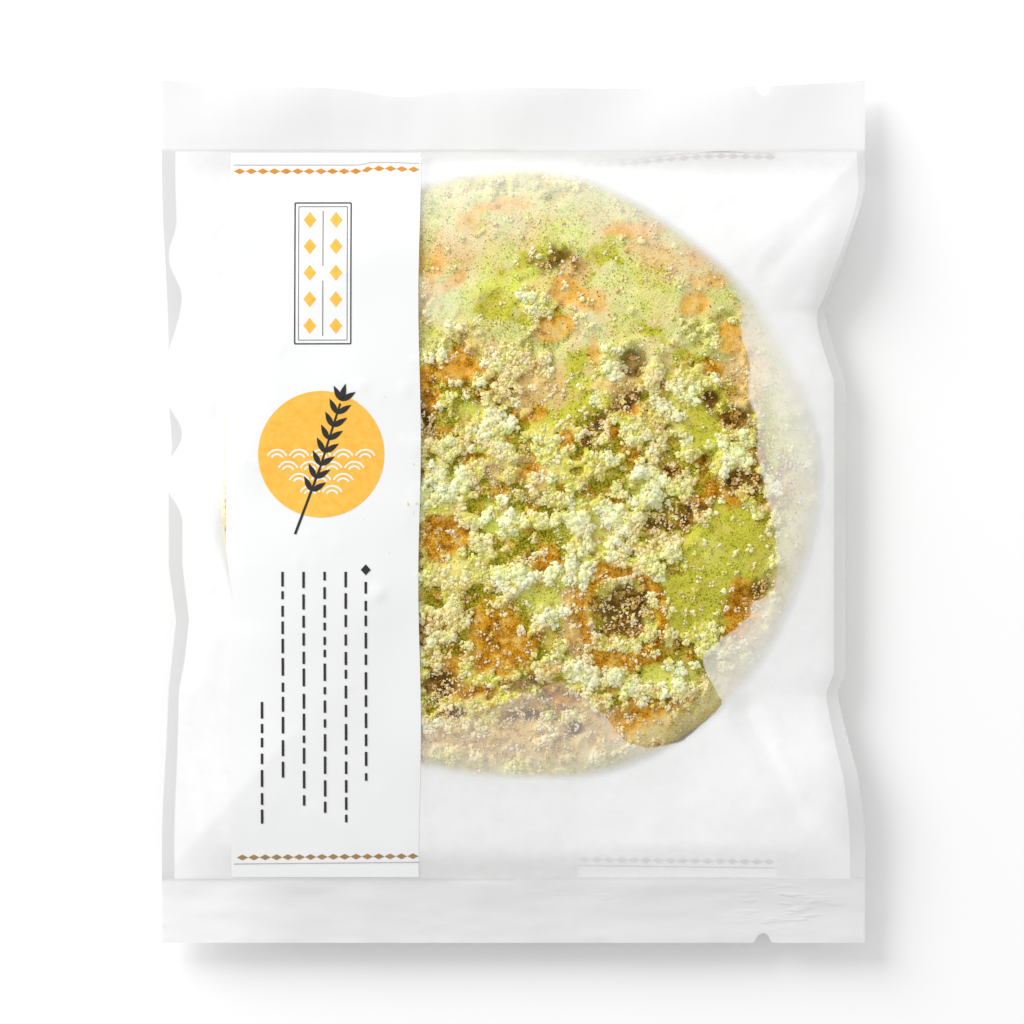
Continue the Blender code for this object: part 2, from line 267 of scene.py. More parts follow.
# Where it is scorched
CHAR = [
    (22.5, -20.5, 6, 6.5, 0, 1.3), (24, 29.6, 3.6, 3.4, 0, 1.4), (22, 21.8, 5, 2, 35, 1.2),
    (17, 17.5, 2.4, 4, -30, 1.1), (14.3, 13.9, 1.6, 1.6, 0, 0.8), (39.3, 22.7, 2.2, 2.6, 0, 0.8),
    (44.3, 18.6, 4.4, 3, 0, 1), (45.3, 6.3, 6, 2.6, 0, 1.1), (53.9, 8.3, 4, 3, 0, 0.3),
    (31.3, 8.3, 2, 2, 0, 0.8), (28, -2.6, 3.4, 3.4, 0, 0.9), (34, -1.4, 3.4, 2.4, 0, 0.9),
    (11.9, -43.3, 2.4, 2.2, 0, 1), (-14.7, -34.7, 4, 4.6, 0, 1), (34.1, -43.1, 3.0, 2.2, 0, 0.7),
    (49.6, -15.6, 3, 3, 0, 0.9), (-17.5, 18.7, 2.4, 5, 0, 0.9), (2, -40.5, 8, 1.4, 6, 0.7),
    (-12, -40, 5, 1.8, 10, 0.8), (8.9, 50, 6, 3, 10, 0.4), (-5, 23, 5, 3, 30, 0.5), (30, -3, 7, 3, 0, 0.6),
    (-16, -24, 3, 6, 0, 0.4), (3, -9, 2.4, 2, 0, 0.4), (31, -38, 6, 2, 0, 0.4), (36, 0.5, 6, 2, 10, 0.5),
]
# Where the bare baked dough shows, tan and pinkish
TAN = [
    (2, -46, 19, 6, 0, 1.3), (18, -42, 9, 5, -20, 1), (2, -38.5, 8, 2.2, 8, 1), (-16, -45, 6, 5, 0, 0.6),
    (8, -31.5, 4, 2, 8, 0.7), (8.9, 47, 8, 4, 20, 0.9), (12, 48, 5, 4, 0, 0.9), (-13, 52, 5, 5, 0, 0.8),
    (5, 24, 7, 5, 20, 0.9), (13, 42, 4, 3, 0, 0.8), (-9, 33, 6, 5, 0, 0.4), (29, 50, 8, 4, -20, 0.9),
    (22, 26, 5, 4, 0, 0.5), (54, 5, 5, 7, 0, 0.8), (50, -24, 6, 8, 20, 0.9), (47, 28, 5, 10, 10, 0.8),
    (2, 7, 7, 5, 0, 0.4), (-3, 8, 4, 4, 0, 0.3), (12, -22, 4, 9, 4, 1.2), (30, -48, 8, 4, 0, 0.7),
]
# Where the pale upper part and the rim's painted light turn olive
OLIVE = [
    (-2, 43.5, 4.8, 10, -36, 1.3), (7, 50.5, 7, 4, 10, 1.3), (5, 40, 6, 5, 0, 0.9), (17, 51, 5, 4, 0, 0.9), (-10, 33, 4, 6, 0, 0.7), (13, 30, 3, 6, -20, 0.7),
    (-15, 30, 3, 9, 0, 0.8), (15, 47, 3, 2.5, 0, 0.6), (28, 36, 4, 3, 0, 0.6), (36, 30, 5, 4, 0, 0.7),
]
# Where fine dark seaweed specks lie thickest
SPECKLED = [
    (11, 49, 9, 4.6, -10, 1.3), (-3, 38, 6, 4, 40, 0.8), (18, 44, 5, 4, 0, 0.8), (12, 32, 5, 4, 0, 0.6),
    (38, -18, 9, 4, 0, 0.8), (30, -10, 6, 5, 0, 0.6), (39, 22, 5, 5, 0, 0.8),
]
# Sunken places: x, y, radius and depth
HOLLOWS = [
    (22, -20, 5.8, 1.5), (24, 29.6, 3.2, 1.7), (22, 21.7, 2.6, 0.7), (39.3, 22.7, 1.8, 0.8),
    (45.3, 6.3, 3, 0.6), (30.5, -2, 4.6, 1.1), (11.9, -43.3, 2.2, 0.8), (-14.7, -34.7, 3.2, 0.6),
    (-3, -26, 7, 0.5), (8.3, 36.7, 3.4, 0.25), (10.3, 43.5, 2.6, 0.25), (36.1, 41.3, 2.6, 0.3),
    (38.5, 9.7, 2.4, 0.7), (-4, 41, 3, 0.5), (-17.5, 17, 3, 0.7), (-13.7, -5.7, 4.5, 0.4),
    (16.5, 17, 2.6, 0.5), (46.3, -18.3, 3.6, 0.3), (2, 2, 2.2, 0.5), (3.8, -8, 2.4, 0.5),
]


def gathered(x, y):
    """1 on the ragged masses that the crust gathers in, 0 in the gaps between them:
    two octaves of noise, past a middle level."""
    level = 0.55 * value_noise(x, y, 3.6, 201) + 0.45 * value_noise(x, y, 1.5, 203)
    return smooth((level - 0.4) / 0.16)


def zones(x, y):
    """The cracker's zones at points: each above 0 inside, with ragged borders."""
    found = {
        "mass": gathered(x, y),
        "powder": inside(x, y, POWDER, 0.35, 5.0, 11),
        "lime": inside(x, y, LIME, 0.55, 4.0, 21),
        "glaze": inside(x, y, GLAZE, 0.5, 3.0, 31),
        "char": inside(x, y, CHAR, 0.5, 2.2, 41),
        "tan": inside(x, y, TAN, 0.5, 3.5, 51),
    }
    # pale: the upper part, pale of itself, and past 50 mm out the rim, painted paler as painted light against the
    # shade on its slopes
    upper = smooth((y - 22) / 10)
    outer_painted_light = smooth((from_centre(x, y)[0] - 50) / 7)
    olive = smooth(inside(x, y, OLIVE, 0.6, 2.2, 55) * 1.7 + 0.1)
    found["pale"] = np.maximum(upper, outer_painted_light) * (1 - 0.85 * olive)
    # edge: more painted light, the rim's lower half painted pale cream where its slope turns away from the lamp
    edge = smooth((from_centre(x, y)[0] - 53.5) / 4.5)
    found["edge"] = edge * smooth((18 - y) / 16)
    # An amber ring stands round the burst crater, widest on its left and below.
    ring = np.hypot((x - 21.6) / 6.6, (y + 20.9) / 7.0) + 0.12 * rough_noise(x, y, 2.0, 35)
    found["glaze"] = np.maximum(found["glaze"], 0.7 - np.abs(ring - 1.25) * 3.0)
    # Away from the places listed, the same finishes turn up by noise alone.
    unset = smooth((-14 - x) / 6)
    found["glaze"] = np.maximum(found["glaze"], (rough_noise(x, y, 11, 61) - 0.25) * unset)
    found["tan"] = np.maximum(found["tan"], (rough_noise(x, y, 13, 65) - 0.15) * unset)
    found["lime"] = np.maximum(found["lime"], (rough_noise(x, y, 9, 71) - 0.1) * unset)
    found["char"] = np.maximum(found["char"], (rough_noise(x, y, 7, 75) - 0.6) * unset)
    return found


def crumbly(found):
    """1 where crumbs lie thick, 0 on powder, glaze and scorched dough."""
    bare = np.maximum(found["powder"], np.maximum(found["glaze"], found["char"]) - 0.22)
    return 1 - smooth((bare + 0.1) / 0.4)


def cracker_top(x, y, found):
    """Height of the baked surface: under the film's crown, rounding down at the rim
    as (1 - r^20)^0.8, sunk in the hollows, raised round the crater and in two thin
    folds, and grainy where crumbs lie thick."""
    out, angle = from_centre(x, y)
    share = np.clip(out / CRACKER_RADIUS, 0, 1)
    rim = 5.3 + 0.4 * np.sin(2 * angle + 1)
    height = rim + (crown(x, y) - 0.95 - rim) * (1 - share**20) ** 0.8
    relief = 0.35 * rough_noise(x, y, 8, 81) + 0.2 * rough_noise(x, y, 3.2, 85)
    for place_x, place_y, radius, depth in HOLLOWS:
        away = np.hypot(x - place_x, y - place_y) / radius
        away = away * (1 + 0.3 * rough_noise(x, y, 2.5, int(place_x) + 90))
        relief = relief - depth * smooth((1.25 - away) / 0.6)
        relief = relief + 0.3 * depth * np.exp(-(((away - 1.45) / 0.35) ** 2))
    for fold_x, fold_y, half, turn in ((3.1, -32.8, 6.0, 11), (1.8, -37.1, 6.5, 11)):
        c, s = np.cos(np.radians(turn)), np.sin(np.radians(turn))
        along = ((x - fold_x) * c + (y - fold_y) * s) / half
        across = (y - fold_y) * c - (x - fold_x) * s
        ends = smooth((1.2 - np.abs(along)) / 0.4)
        relief = relief + 0.55 * ends * np.exp(-((across / 0.8) ** 2))
        relief = relief - 0.5 * ends * np.exp(-(((across + 1.7) / 0.7) ** 2))
    grain = 0.5 * pebbles(x, y, 1.9, 101) + 0.35 * pebbles(x, y, 1.15, 105) - 0.3
    thick = (0.3 + 0.7 * found["mass"]) * (0.2 + 0.8 * crumbly(found))
    relief = relief + 0.75 * (found["mass"] - 0.6) * crumbly(found)
    return height + (relief + grain * thick) * smooth((1 - share) / 0.05), grain


def cracker_bottom(x, y):
    """Height of the underside: just clear of the back film, level under the middle."""
    out, angle = from_centre(x, y)
    share = np.clip(out / CRACKER_RADIUS, 0, 1)
    rim = 5.3 + 0.4 * np.sin(2 * angle + 1)
    base = FIN_THICKNESS + 0.25 + 0.25 * value_noise(x, y, 4, 111)
    return base + (rim - base) * share**9 * (1 + 0 * x)


def mesh_object(name, points, faces, attributes=None):
    """A mesh of points in millimetres and of faces that all have as many corners,
    with its point attributes, linked to the scene."""
    mesh = bpy.data.meshes.new(name)
    mesh.vertices.add(len(points))
    mesh.vertices.foreach_set("co", (points * MM).astype(np.float32).ravel())
    mesh.loops.add(faces.size)
    mesh.loops.foreach_set("vertex_index", faces.astype(np.int32).ravel())
    mesh.polygons.add(len(faces))
    starts = np.arange(0, faces.size, faces.shape[1], dtype=np.int32)
    mesh.polygons.foreach_set("loop_start", starts)
    mesh.update(calc_edges=True)
    for key, values in (attributes or {}).items():
        layer = mesh.attributes.new(key, "FLOAT", "POINT")
        layer.data.foreach_set("value", values.astype(np.float32).ravel())
    mesh.polygons.foreach_set("use_smooth", np.ones(len(faces), bool))
    made = bpy.data.objects.new(name, mesh)
    bpy.context.scene.collection.objects.link(made)
    return made


def grid_faces(rows, columns, offset=0):
    """Quads of a grid of rows by columns points, anticlockwise seen from +Z."""
    index = np.arange(rows * columns).reshape(rows, columns) + offset
    corners = index[:-1, :-1], index[:-1, 1:], index[1:, 1:], index[1:, :-1]
    return np.stack([c.ravel() for c in corners], axis=1)


def split(quads):
    """Each quad as two triangles."""
    return np.concatenate([quads[:, [0, 1, 2]], quads[:, [0, 2, 3]]])


def square_to_disc(u, v):
    """Concentric map from the square to the disc: rings of squares become rings of
    circles. Gives the radius from 0 to 1, and the angle."""
    radius = np.maximum(np.abs(u), np.abs(v))
    side = np.where(radius == 0, 1, radius)
    wide = np.abs(u) >= np.abs(v)
    angle = np.where(wide, np.pi / 4 * v / side, np.pi / 2 - np.pi / 4 * u / side)
    turned = np.where(wide, u < 0, v < 0)
    angle = np.where(wide & turned, np.pi - np.pi / 4 * v / side, angle)
    return radius, np.where(~wide & turned, np.pi * 1.5 + np.pi / 4 * u / side, angle)


SIDE = 280
across, along = np.meshgrid(np.linspace(-1, 1, SIDE), np.linspace(-1, 1, SIDE))
ring, turn = square_to_disc(across.ravel(), along.ravel())
ring = 1 - (1 - ring) ** 1.15
reach = ring * CRACKER_RADIUS * outline(turn)
top_x, top_y = CRACKER_X + reach * np.cos(turn), CRACKER_Y + reach * np.sin(turn)
top_zones = zones(top_x, top_y)
top_z, top_grain = cracker_top(top_x, top_y, top_zones)

# The underside is rings that start on the top's rim and close on one middle point.
edge_index = np.arange(SIDE * SIDE).reshape(SIDE, SIDE)
loop = np.concatenate([
    edge_index[0, :-1], edge_index[:-1, -1], edge_index[-1, :0:-1], edge_index[:0:-1, 0],
])
RINGS = 19
shrink = (1 - np.arange(1, RINGS) / RINGS)[:, None] ** 1.0
shrink = 1 - (1 - shrink) ** 1.6
low_x = (CRACKER_X + (top_x[loop] - CRACKER_X) * shrink).ravel()
low_y = (CRACKER_Y + (top_y[loop] - CRACKER_Y) * shrink).ravel()
low_z = cracker_bottom(low_x, low_y)
around = len(loop)
rings = np.concatenate([[loop], SIDE * SIDE + np.arange((RINGS - 1) * around).reshape(-1, around)])
after = np.roll(rings, -1, axis=1)
under = np.stack([rings[:-1], rings[1:], after[1:], after[:-1]], axis=2).reshape(-1, 4)
middle = SIDE * SIDE + (RINGS - 1) * around
fan = np.stack([rings[-1], np.full(around, middle), after[-1]], axis=1)
cracker_x = np.concatenate([top_x, low_x, [CRACKER_X]])
cracker_y = np.concatenate([top_y, low_y, [CRACKER_Y]])
cracker_z = np.concatenate([top_z, low_z, cracker_bottom(np.array([CRACKER_X]), np.array([CRACKER_Y]))])
cracker_zones = zones(cracker_x, cracker_y)
cracker_zones["grain"] = np.concatenate([top_grain, np.full(len(low_x) + 1, 0.1)])
cracker = mesh_object(
    "cracker",
    np.stack([cracker_x, cracker_y, cracker_z], axis=1),
    np.concatenate([split(grid_faces(SIDE, SIDE)), split(under), fan]),
    cracker_zones,
)


def srgb(red, green, blue):
    """A colour given as it looks, from 0 to 255, as the shader's linear light."""
    share = np.array([red, green, blue]) / 255
    linear = np.where(share > 0.04045, ((share + 0.055) / 1.055) ** 2.4, share / 12.92)
    return (*linear.tolist(), 1.0)


class Level:
    """A number that changes over a surface. + - * on it add Math nodes."""

    def __init__(self, finish, socket):
        self.finish, self.socket = finish, socket

    def math(self, operation, first, second=0.0, clamp=False):
        settings = {"operation": operation, "use_clamp": clamp}
        return self.finish.node("ShaderNodeMath", settings, {0: first, 1: second})

    def __add__(self, other):
        return self.math("ADD", self, other)

    __radd__ = __add__

    def __sub__(self, other):
        return self.math("SUBTRACT", self, other)

    def __rsub__(self, other):
        return self.math("SUBTRACT", other, self)

    def __mul__(self, other):
        return self.math("MULTIPLY", self, other)

    __rmul__ = __mul__

    def rise(self, low, high):
        """0 below low, 1 above high, with a smooth step between."""
        settings = {"interpolation_type": "SMOOTHSTEP"}
        inputs = {"Value": self, "From Min": low, "From Max": high}
        return self.finish.node("ShaderNodeMapRange", settings, inputs)


class Finish:
    """A material with one Principled shader, and the nodes that feed it."""

    def __init__(self, name, **sockets):
        self.material = bpy.data.materials.new(name)
        self.material.use_nodes = True
        self.tree = self.material.node_tree
        self.shader = self.tree.nodes["Principled BSDF"]
        for key, value in sockets.items():
            self.set(key.replace("_", " "), value)

    def set(self, socket, value):
        """Sets a socket of the Principled shader to a constant or a link."""
        self.feed(self.shader.inputs[socket], value)

    def feed(self, socket, value):
        if isinstance(value, Level):
            self.tree.links.new(value.socket, socket)
        else:
            socket.default_value = value

    def node(self, kind, settings=None, inputs=None, output=0):
        """A node of any kind: its settings first, then its sockets' values or links."""
        made = self.tree.nodes.new(kind)
        for key, value in (settings or {}).items():
            setattr(made, key, value)
        for key, value in (inputs or {}).items():
            self.feed(made.inputs[key], value)
        return Level(self, made.outputs[output])

    def place(self):
        return self.node("ShaderNodeTexCoord", output="Object")

    def attribute(self, name):
        return self.node("ShaderNodeAttribute", {"attribute_name": name}, output="Fac")

    def noise(self, size, detail=2.0, roughness=0.6):
        """Noise with features of about that size in millimetres, from 0 to 1."""
        inputs = {"Vector": self.place(), "Scale": 1 / (size * MM)}
        inputs.update({"Detail": detail, "Roughness": roughness})
        return self.node("ShaderNodeTexNoise", None, inputs, "Fac")

    def grains(self, size, output="Distance"):
        """Distance to the nearest of random points about size millimetres apart."""
        inputs = {"Vector": self.place(), "Scale": 1 / (size * MM)}
        return self.node("ShaderNodeTexVoronoi", None, inputs, output)

    def blend(self, factor, first, second):
        """first where factor is 0, second where it is 1."""
        settings = {"data_type": "RGBA", "clamp_factor": True}
        inputs = {0: factor, 6: first, 7: second}
        return self.node("ShaderNodeMix", settings, inputs, 2)

    def ramp(self, level, *stops):
        """Colours at levels from 0 to 1, blended between."""
        colours = self.node("ShaderNodeValToRGB", None, {0: level})
        elements = colours.socket.node.color_ramp.elements
        while len(elements) < len(stops):
            elements.new(0.5)
        for element, (position, colour) in zip(elements, stops):
            element.position = position
            element.color = colour
        return colours

    def bump(self, height, distance, strength=1.0):
        inputs = {"Height": height, "Distance": distance * MM, "Strength": strength}
        self.set("Normal", self.node("ShaderNodeBump", None, inputs))

    def on(self, piece):
        piece.data.materials.append(self.material)
        return piece


baked = Finish("baked_dough_and_powder", Roughness=0.75, Specular_IOR_Level=0.08)
fine = baked.noise(0.35, 3.0, 0.75)
mottle = baked.noise(2.2, 3.0, 0.65)
broad = baked.noise(7.0, 2.0, 0.6)
border = (fine - 0.5) * 0.5 + (mottle - 0.5) * 0.4
grit = baked.grains(0.42)
sandy = (fine - 0.5) * 1.8 + (0.42 - grit) * 0.5
# pale_or_rim_painted_light: the upper part's own paleness, and the rim's painted light
pale_or_rim_painted_light = (baked.attribute("pale") + border * 0.6).rise(0.2, 0.8)
powder_level = (mottle - 0.5) * 0.9 + sandy + 0.5 + (broad - 0.5) * pale_or_rim_painted_light * 0.8
glaze_level = (mottle - 0.5) * 1.9 + (fine - 0.5) * (1.9 - pale_or_rim_painted_light * 1.1) + pale_or_rim_painted_light * 0.12 + 0.42
# The masses are pale crumbs, some cream and some lime
cream_colour = baked.ramp(
    powder_level,
    (0.0, srgb(186, 162, 30)), (0.3, srgb(236, 222, 112)), (0.65, srgb(249, 242, 164)),
    (1.0, srgb(253, 250, 210)),
)
leaf_colour = baked.ramp(
    powder_level,
    (0.0, srgb(150, 146, 12)), (0.3, srgb(222, 223, 80)), (0.65, srgb(242, 243, 130)),
    (1.0, srgb(250, 251, 186)),
)
mass_colour = baked.blend(broad.rise(0.38, 0.6), leaf_colour, cream_colour)
# The gaps show olive powder, or amber and brown dough
olive_colour = baked.ramp(
    powder_level,
    (0.0, srgb(64, 54, 0)), (0.35, srgb(142, 136, 6)), (0.7, srgb(202, 200, 60)),
    (1.0, srgb(234, 230, 136)),
)
dough_colour = baked.ramp(
    glaze_level,
    (0.0, srgb(72, 44, 0)), (0.3, srgb(148, 100, 0)), (0.6, srgb(212, 162, 32)),
    (1.0, srgb(240, 208, 124)),
)
gap_colour = baked.blend(baked.noise(4.5, 2.0).rise(0.47, 0.62), olive_colour, dough_colour)
crumb_colour = baked.blend(
    (baked.attribute("mass") + border).rise(0.3, 0.7), gap_colour, mass_colour,
)
powder_colour = baked.ramp(
    powder_level,
    (0.0, srgb(124, 118, 4)), (0.3, srgb(190, 188, 47)), (0.65, srgb(216, 216, 85)),
    (1.0, srgb(241, 239, 142)),
)
lime_colour = baked.ramp(
    powder_level,
    (0.0, srgb(190, 196, 45)), (0.35, srgb(227, 233, 101)), (0.7, srgb(244, 249, 154)),
    (1.0, srgb(251, 254, 208)),
)
glaze_colour = baked.ramp(
    glaze_level,
    (0.0, srgb(104, 60, 0)), (0.3, srgb(178, 112, 0)), (0.58, srgb(224, 162, 20)),
    (0.8, srgb(244, 204, 106)), (1.0, srgb(252, 234, 176)),
)
char_colour = baked.ramp(
    glaze_level, (0.0, srgb(40, 24, 0)), (0.45, srgb(98, 64, 2)), (1.0, srgb(186, 140, 46)),
)
tan_colour = baked.ramp(
    powder_level,
    (0.0, srgb(188, 139, 53)), (0.35, srgb(236, 199, 126)), (1.0, srgb(253, 236, 190)),
)
pale_green_colour = baked.ramp(
    powder_level,
    (0.0, srgb(164, 160, 52)), (0.3, srgb(214, 218, 122)), (0.65, srgb(238, 241, 182)),
    (1.0, srgb(250, 251, 226)),
)
pale_cream_colour = baked.ramp(
    powder_level,
    (0.0, srgb(196, 164, 70)), (0.3, srgb(234, 214, 142)), (0.65, srgb(248, 236, 188)),
    (1.0, srgb(253, 248, 226)),
)
pale_colour = baked.blend(baked.noise(6.0, 2.0).rise(0.45, 0.6), pale_green_colour, pale_cream_colour)
# Pale colours on the upper part, and on the rim as painted light
powder_colour = baked.blend(pale_or_rim_painted_light * 0.9, powder_colour, pale_colour)
crumb_colour = baked.blend(pale_or_rim_painted_light * 0.6, crumb_colour, pale_colour)
is_powder = (baked.attribute("powder") + border * 0.5).rise(-0.05, 0.2)
is_lime = (baked.attribute("lime") + border).rise(0.0, 0.5)
is_glaze = (baked.attribute("glaze") + border * 1.7).rise(-0.05, 0.4)
is_char = (baked.attribute("char") + border * 1.7).rise(-0.05, 0.55)
is_tan = (baked.attribute("tan") + border).rise(0.0, 0.4)
colour = baked.blend(is_powder, crumb_colour, powder_colour)
colour = baked.blend(is_tan * 0.85, colour, tan_colour)
colour = baked.blend(is_lime * (0.8 - pale_or_rim_painted_light * 0.4), colour, lime_colour)
# Glaze and scorch show less where pale, so also under the rim's painted light
bared = 0.95 - (baked.attribute("pale") + border * 0.6).rise(0.5, 1.0) * 0.22
syrup_colour = baked.ramp(
    glaze_level, (0.0, srgb(206, 128, 6)), (0.5, srgb(246, 176, 50)), (1.0, srgb(254, 226, 152)),
)
glaze_colour = baked.blend(pale_or_rim_painted_light, glaze_colour, syrup_colour)
colour = baked.blend(is_glaze * bared, colour, glaze_colour)
colour = baked.blend(is_char * bared, colour, char_colour)
# Painted light: the rim's lower half is blended towards pale cream, against the shade on its slope
rim_painted_light_colour = baked.ramp(
    powder_level,
    (0.0, srgb(224, 196, 112)), (0.35, srgb(247, 232, 160)), (1.0, srgb(254, 249, 214)),
)
is_rim_painted_light = (baked.attribute("edge") + border * 0.5).rise(0.0, 0.8)
colour = baked.blend(is_rim_painted_light * 0.72, colour, rim_painted_light_colour)
baked.set("Base Color", colour)
baked.set("Roughness", 0.8 - is_glaze * 0.42)
baked.bump(fine * 0.6 + mottle * 0.5 - grit * 0.35, 0.3, 0.6)
baked.on(cracker)
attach(cracker, "root")


# ------------------------------------------------------------ the seasoning on the top
# Crumbs of sugar and seaweed-tea seasoning stuck on by the glaze: cream, pale green,
# yellow and toasted granules, bigger mint lumps, clear crystals and dark flecks.
def grain_shapes(count, rng, jitter):
    """Uneven 20-sided grains about a unit radius: an icosahedron's 12 corners with
    random lengths, squashed along random axes and turned at random."""
    golden = (1 + 5**0.5) / 2
    pairs = np.array([(-1, golden), (1, golden), (-1, -golden), (1, -golden)])
    zero = np.zeros((4, 1))
    corners = np.concatenate([
        np.hstack([pairs, zero]), np.hstack([zero, pairs]), np.hstack([pairs[:, 1:], zero, pairs[:, :1]]),
    ]) / np.hypot(1, golden)
    faces = np.array([
        (0, 11, 5), (0, 5, 1), (0, 1, 7), (0, 7, 10), (0, 10, 11), (1, 5, 9), (5, 11, 4),
        (11, 10, 2), (10, 7, 6), (7, 1, 8), (3, 9, 4), (3, 4, 2), (3, 2, 6), (3, 6, 8),
        (3, 8, 9), (4, 9, 5), (2, 4, 11), (6, 2, 10), (8, 6, 7), (9, 8, 1),
    ])
    shape = corners[None] * rng.uniform(1 - jitter, 1 + jitter, (count, 12, 1))
    shape = shape * rng.uniform(0.45, 1.6, (count, 1, 3))
    return turned(shape, rng), faces


def turned(shape, rng):
    """Each shape turned by a random unit quaternion (w, x, y, z)."""
    w, x, y, z = (q := rng.normal(size=(4, len(shape)))) / np.linalg.norm(q, axis=0)
    matrix = np.array([
        [1 - 2 * (y * y + z * z), 2 * (x * y - w * z), 2 * (x * z + w * y)],
        [2 * (x * y + w * z), 1 - 2 * (x * x + z * z), 2 * (y * z - w * x)],
        [2 * (x * z - w * y), 2 * (y * z + w * x), 1 - 2 * (x * x + y * y)],
    ])
    return np.einsum("ijn,nkj->nki", matrix, shape)


def cube_shapes(count, rng, jitter):
    """Broken crystals: uneven blocks of 12 triangles, turned at random."""
    corners = np.array([(i, j, k) for i in (-1, 1) for j in (-1, 1) for k in (-1, 1)]) * 0.6
    faces = np.array([
        (0, 1, 3), (0, 3, 2), (4, 6, 7), (4, 7, 5), (0, 4, 5), (0, 5, 1),
        (2, 3, 7), (2, 7, 6), (0, 2, 6), (0, 6, 4), (1, 5, 7), (1, 7, 3),
    ])
    shape = corners[None] + rng.uniform(-jitter, jitter, (count, 8, 3)) * 0.6
    shape = shape * rng.uniform(0.4, 1.5, (count, 1, 3))
    return turned(shape, rng), faces


def strewn(count, likes, rng, clump=0, spread=0.7):
    """Places on the cracker's top, kept where likes(zones, x, y) beats a random draw.
    With clump, each kept place is surrounded by that many more, piled up on it."""
    x, y, pile = np.zeros(0), np.zeros(0), np.zeros(0)
    while len(x) < count:
        angle = rng.uniform(0, 2 * np.pi, count)
        out = (CRACKER_RADIUS - 1.2) * np.sqrt(rng.random(count))
        try_x = CRACKER_X + out * np.cos(angle) * outline(angle)
        try_y = CRACKER_Y + out * np.sin(angle) * outline(angle)
        # Fewer behind the opaque label, where nothing shows from the front
        hidden = (try_x < -20) & (try_x > -54)
        keep = likes(zones(try_x, try_y), try_x, try_y) * np.where(hidden, 0.25, 1)
        kept = rng.random(count) < keep
        new_x, new_y = try_x[kept], try_y[kept]
        new_pile = np.zeros(len(new_x))
        if clump:
            high = rng.random((len(new_x), clump))
            angle = rng.uniform(0, 2 * np.pi, (len(new_x), clump))
            away = spread * np.sqrt(rng.random((len(new_x), clump)))
            new_x = (new_x[:, None] + away * np.cos(angle)).ravel()
            new_y = (new_y[:, None] + away * np.sin(angle)).ravel()
            new_pile = (high * (spread - away) * 0.45).ravel()
        x, y = np.concatenate([x, new_x]), np.concatenate([y, new_y])
        pile = np.concatenate([pile, new_pile])
    return x[:count], y[:count], pile[:count]


def tinted_patches(x, y, seed):
    """1 in patches about 6 mm across, 0 between them, so that each kind has places
    of its own."""
    return smooth((value_noise(x, y, 6.0, seed) - 0.35) / 0.3)


tops = []
LEAN = 0.8


def scatter(name, places, radius, shapes, jitter, rng, sunk=0.4):
    """A joined mesh of grains at places, each resting on the baked surface, sunk by a
    share of its radius, with a random tint and the height above the surface."""
    x, y, pile = places
    found = zones(x, y)
    z = cracker_top(x, y, found)[0] + radius * (0.62 - sunk) + pile
    shape, faces = shapes(len(x), rng, jitter)
    points = shape * radius[:, None, None] + np.stack([x, y, z], axis=1)[:, None]
    tops.append((x, y, z + radius))
    each = shape.shape[1]
    index = (np.arange(len(x)) * each)[:, None, None] + faces[None]
    warm = smooth((np.maximum(np.maximum(found["glaze"], found["tan"]), found["char"]) + 0.15) / 0.5)
    warm = np.maximum(warm, 0.8 * tinted_patches(x, y, 261))
    piece = mesh_object(name, points.reshape(-1, 3), index.reshape(-1, 3), {
        "tint": np.repeat(0.7 * value_noise(x, y, 1.3, 271) + 0.3 * rng.random(len(x)), each),
        "warm": np.repeat(warm, each),
    })
    # Crumbs let light through, which evens out their shading: their normals lean upward.
    outward = shape / np.linalg.norm(shape, axis=2, keepdims=True) + np.array([0, 0, LEAN])
    outward = (outward / np.linalg.norm(outward, axis=2, keepdims=True)).reshape(-1, 3)
    piece.data.normals_split_custom_set_from_vertices(outward.tolist())
    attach(piece, "root")
    return piece


def crumb_radii(count, rng, least, most):
    """More small than large: the least radius plus a random share to the power 1.6."""
    return least + (most - least) * rng.random(count) ** 1.6


rng = np.random.default_rng(7)
cream = scatter(
    "granules_cream",
    strewn(9900, lambda z, x, y: (
        0.01 + z["mass"] ** 1.5 * crumbly(z) * (0.1 + 0.9 * tinted_patches(x, y, 211))
    ), rng, clump=6, spread=0.62),
    crumb_radii(9900, rng, 0.16, 0.42), grain_shapes, 0.5, rng,
)
pale_green = scatter(
    "granules_pale_green",
    strewn(9900, lambda z, x, y: (
        0.01 + z["mass"] ** 1.5 * crumbly(z) * (0.1 + 0.9 * tinted_patches(x, y, 221))
        * (1 - 0.7 * smooth(z["tan"] * 4))
    ), rng, clump=8, spread=0.75),
    crumb_radii(9900, rng, 0.17, 0.44), grain_shapes, 0.5, rng,
)
lime = scatter(
    "granules_lime",
    strewn(7000, lambda z, x, y: (
        0.02 + (0.1 + 0.9 * z["mass"]) * crumbly(z) * (0.1 + 0.9 * tinted_patches(x, y, 231))
        * (1 - 0.8 * smooth(z["tan"] * 4))
    ), rng, clump=6, spread=0.55),
    crumb_radii(7000, rng, 0.16, 0.34), grain_shapes, 0.5, rng,
)
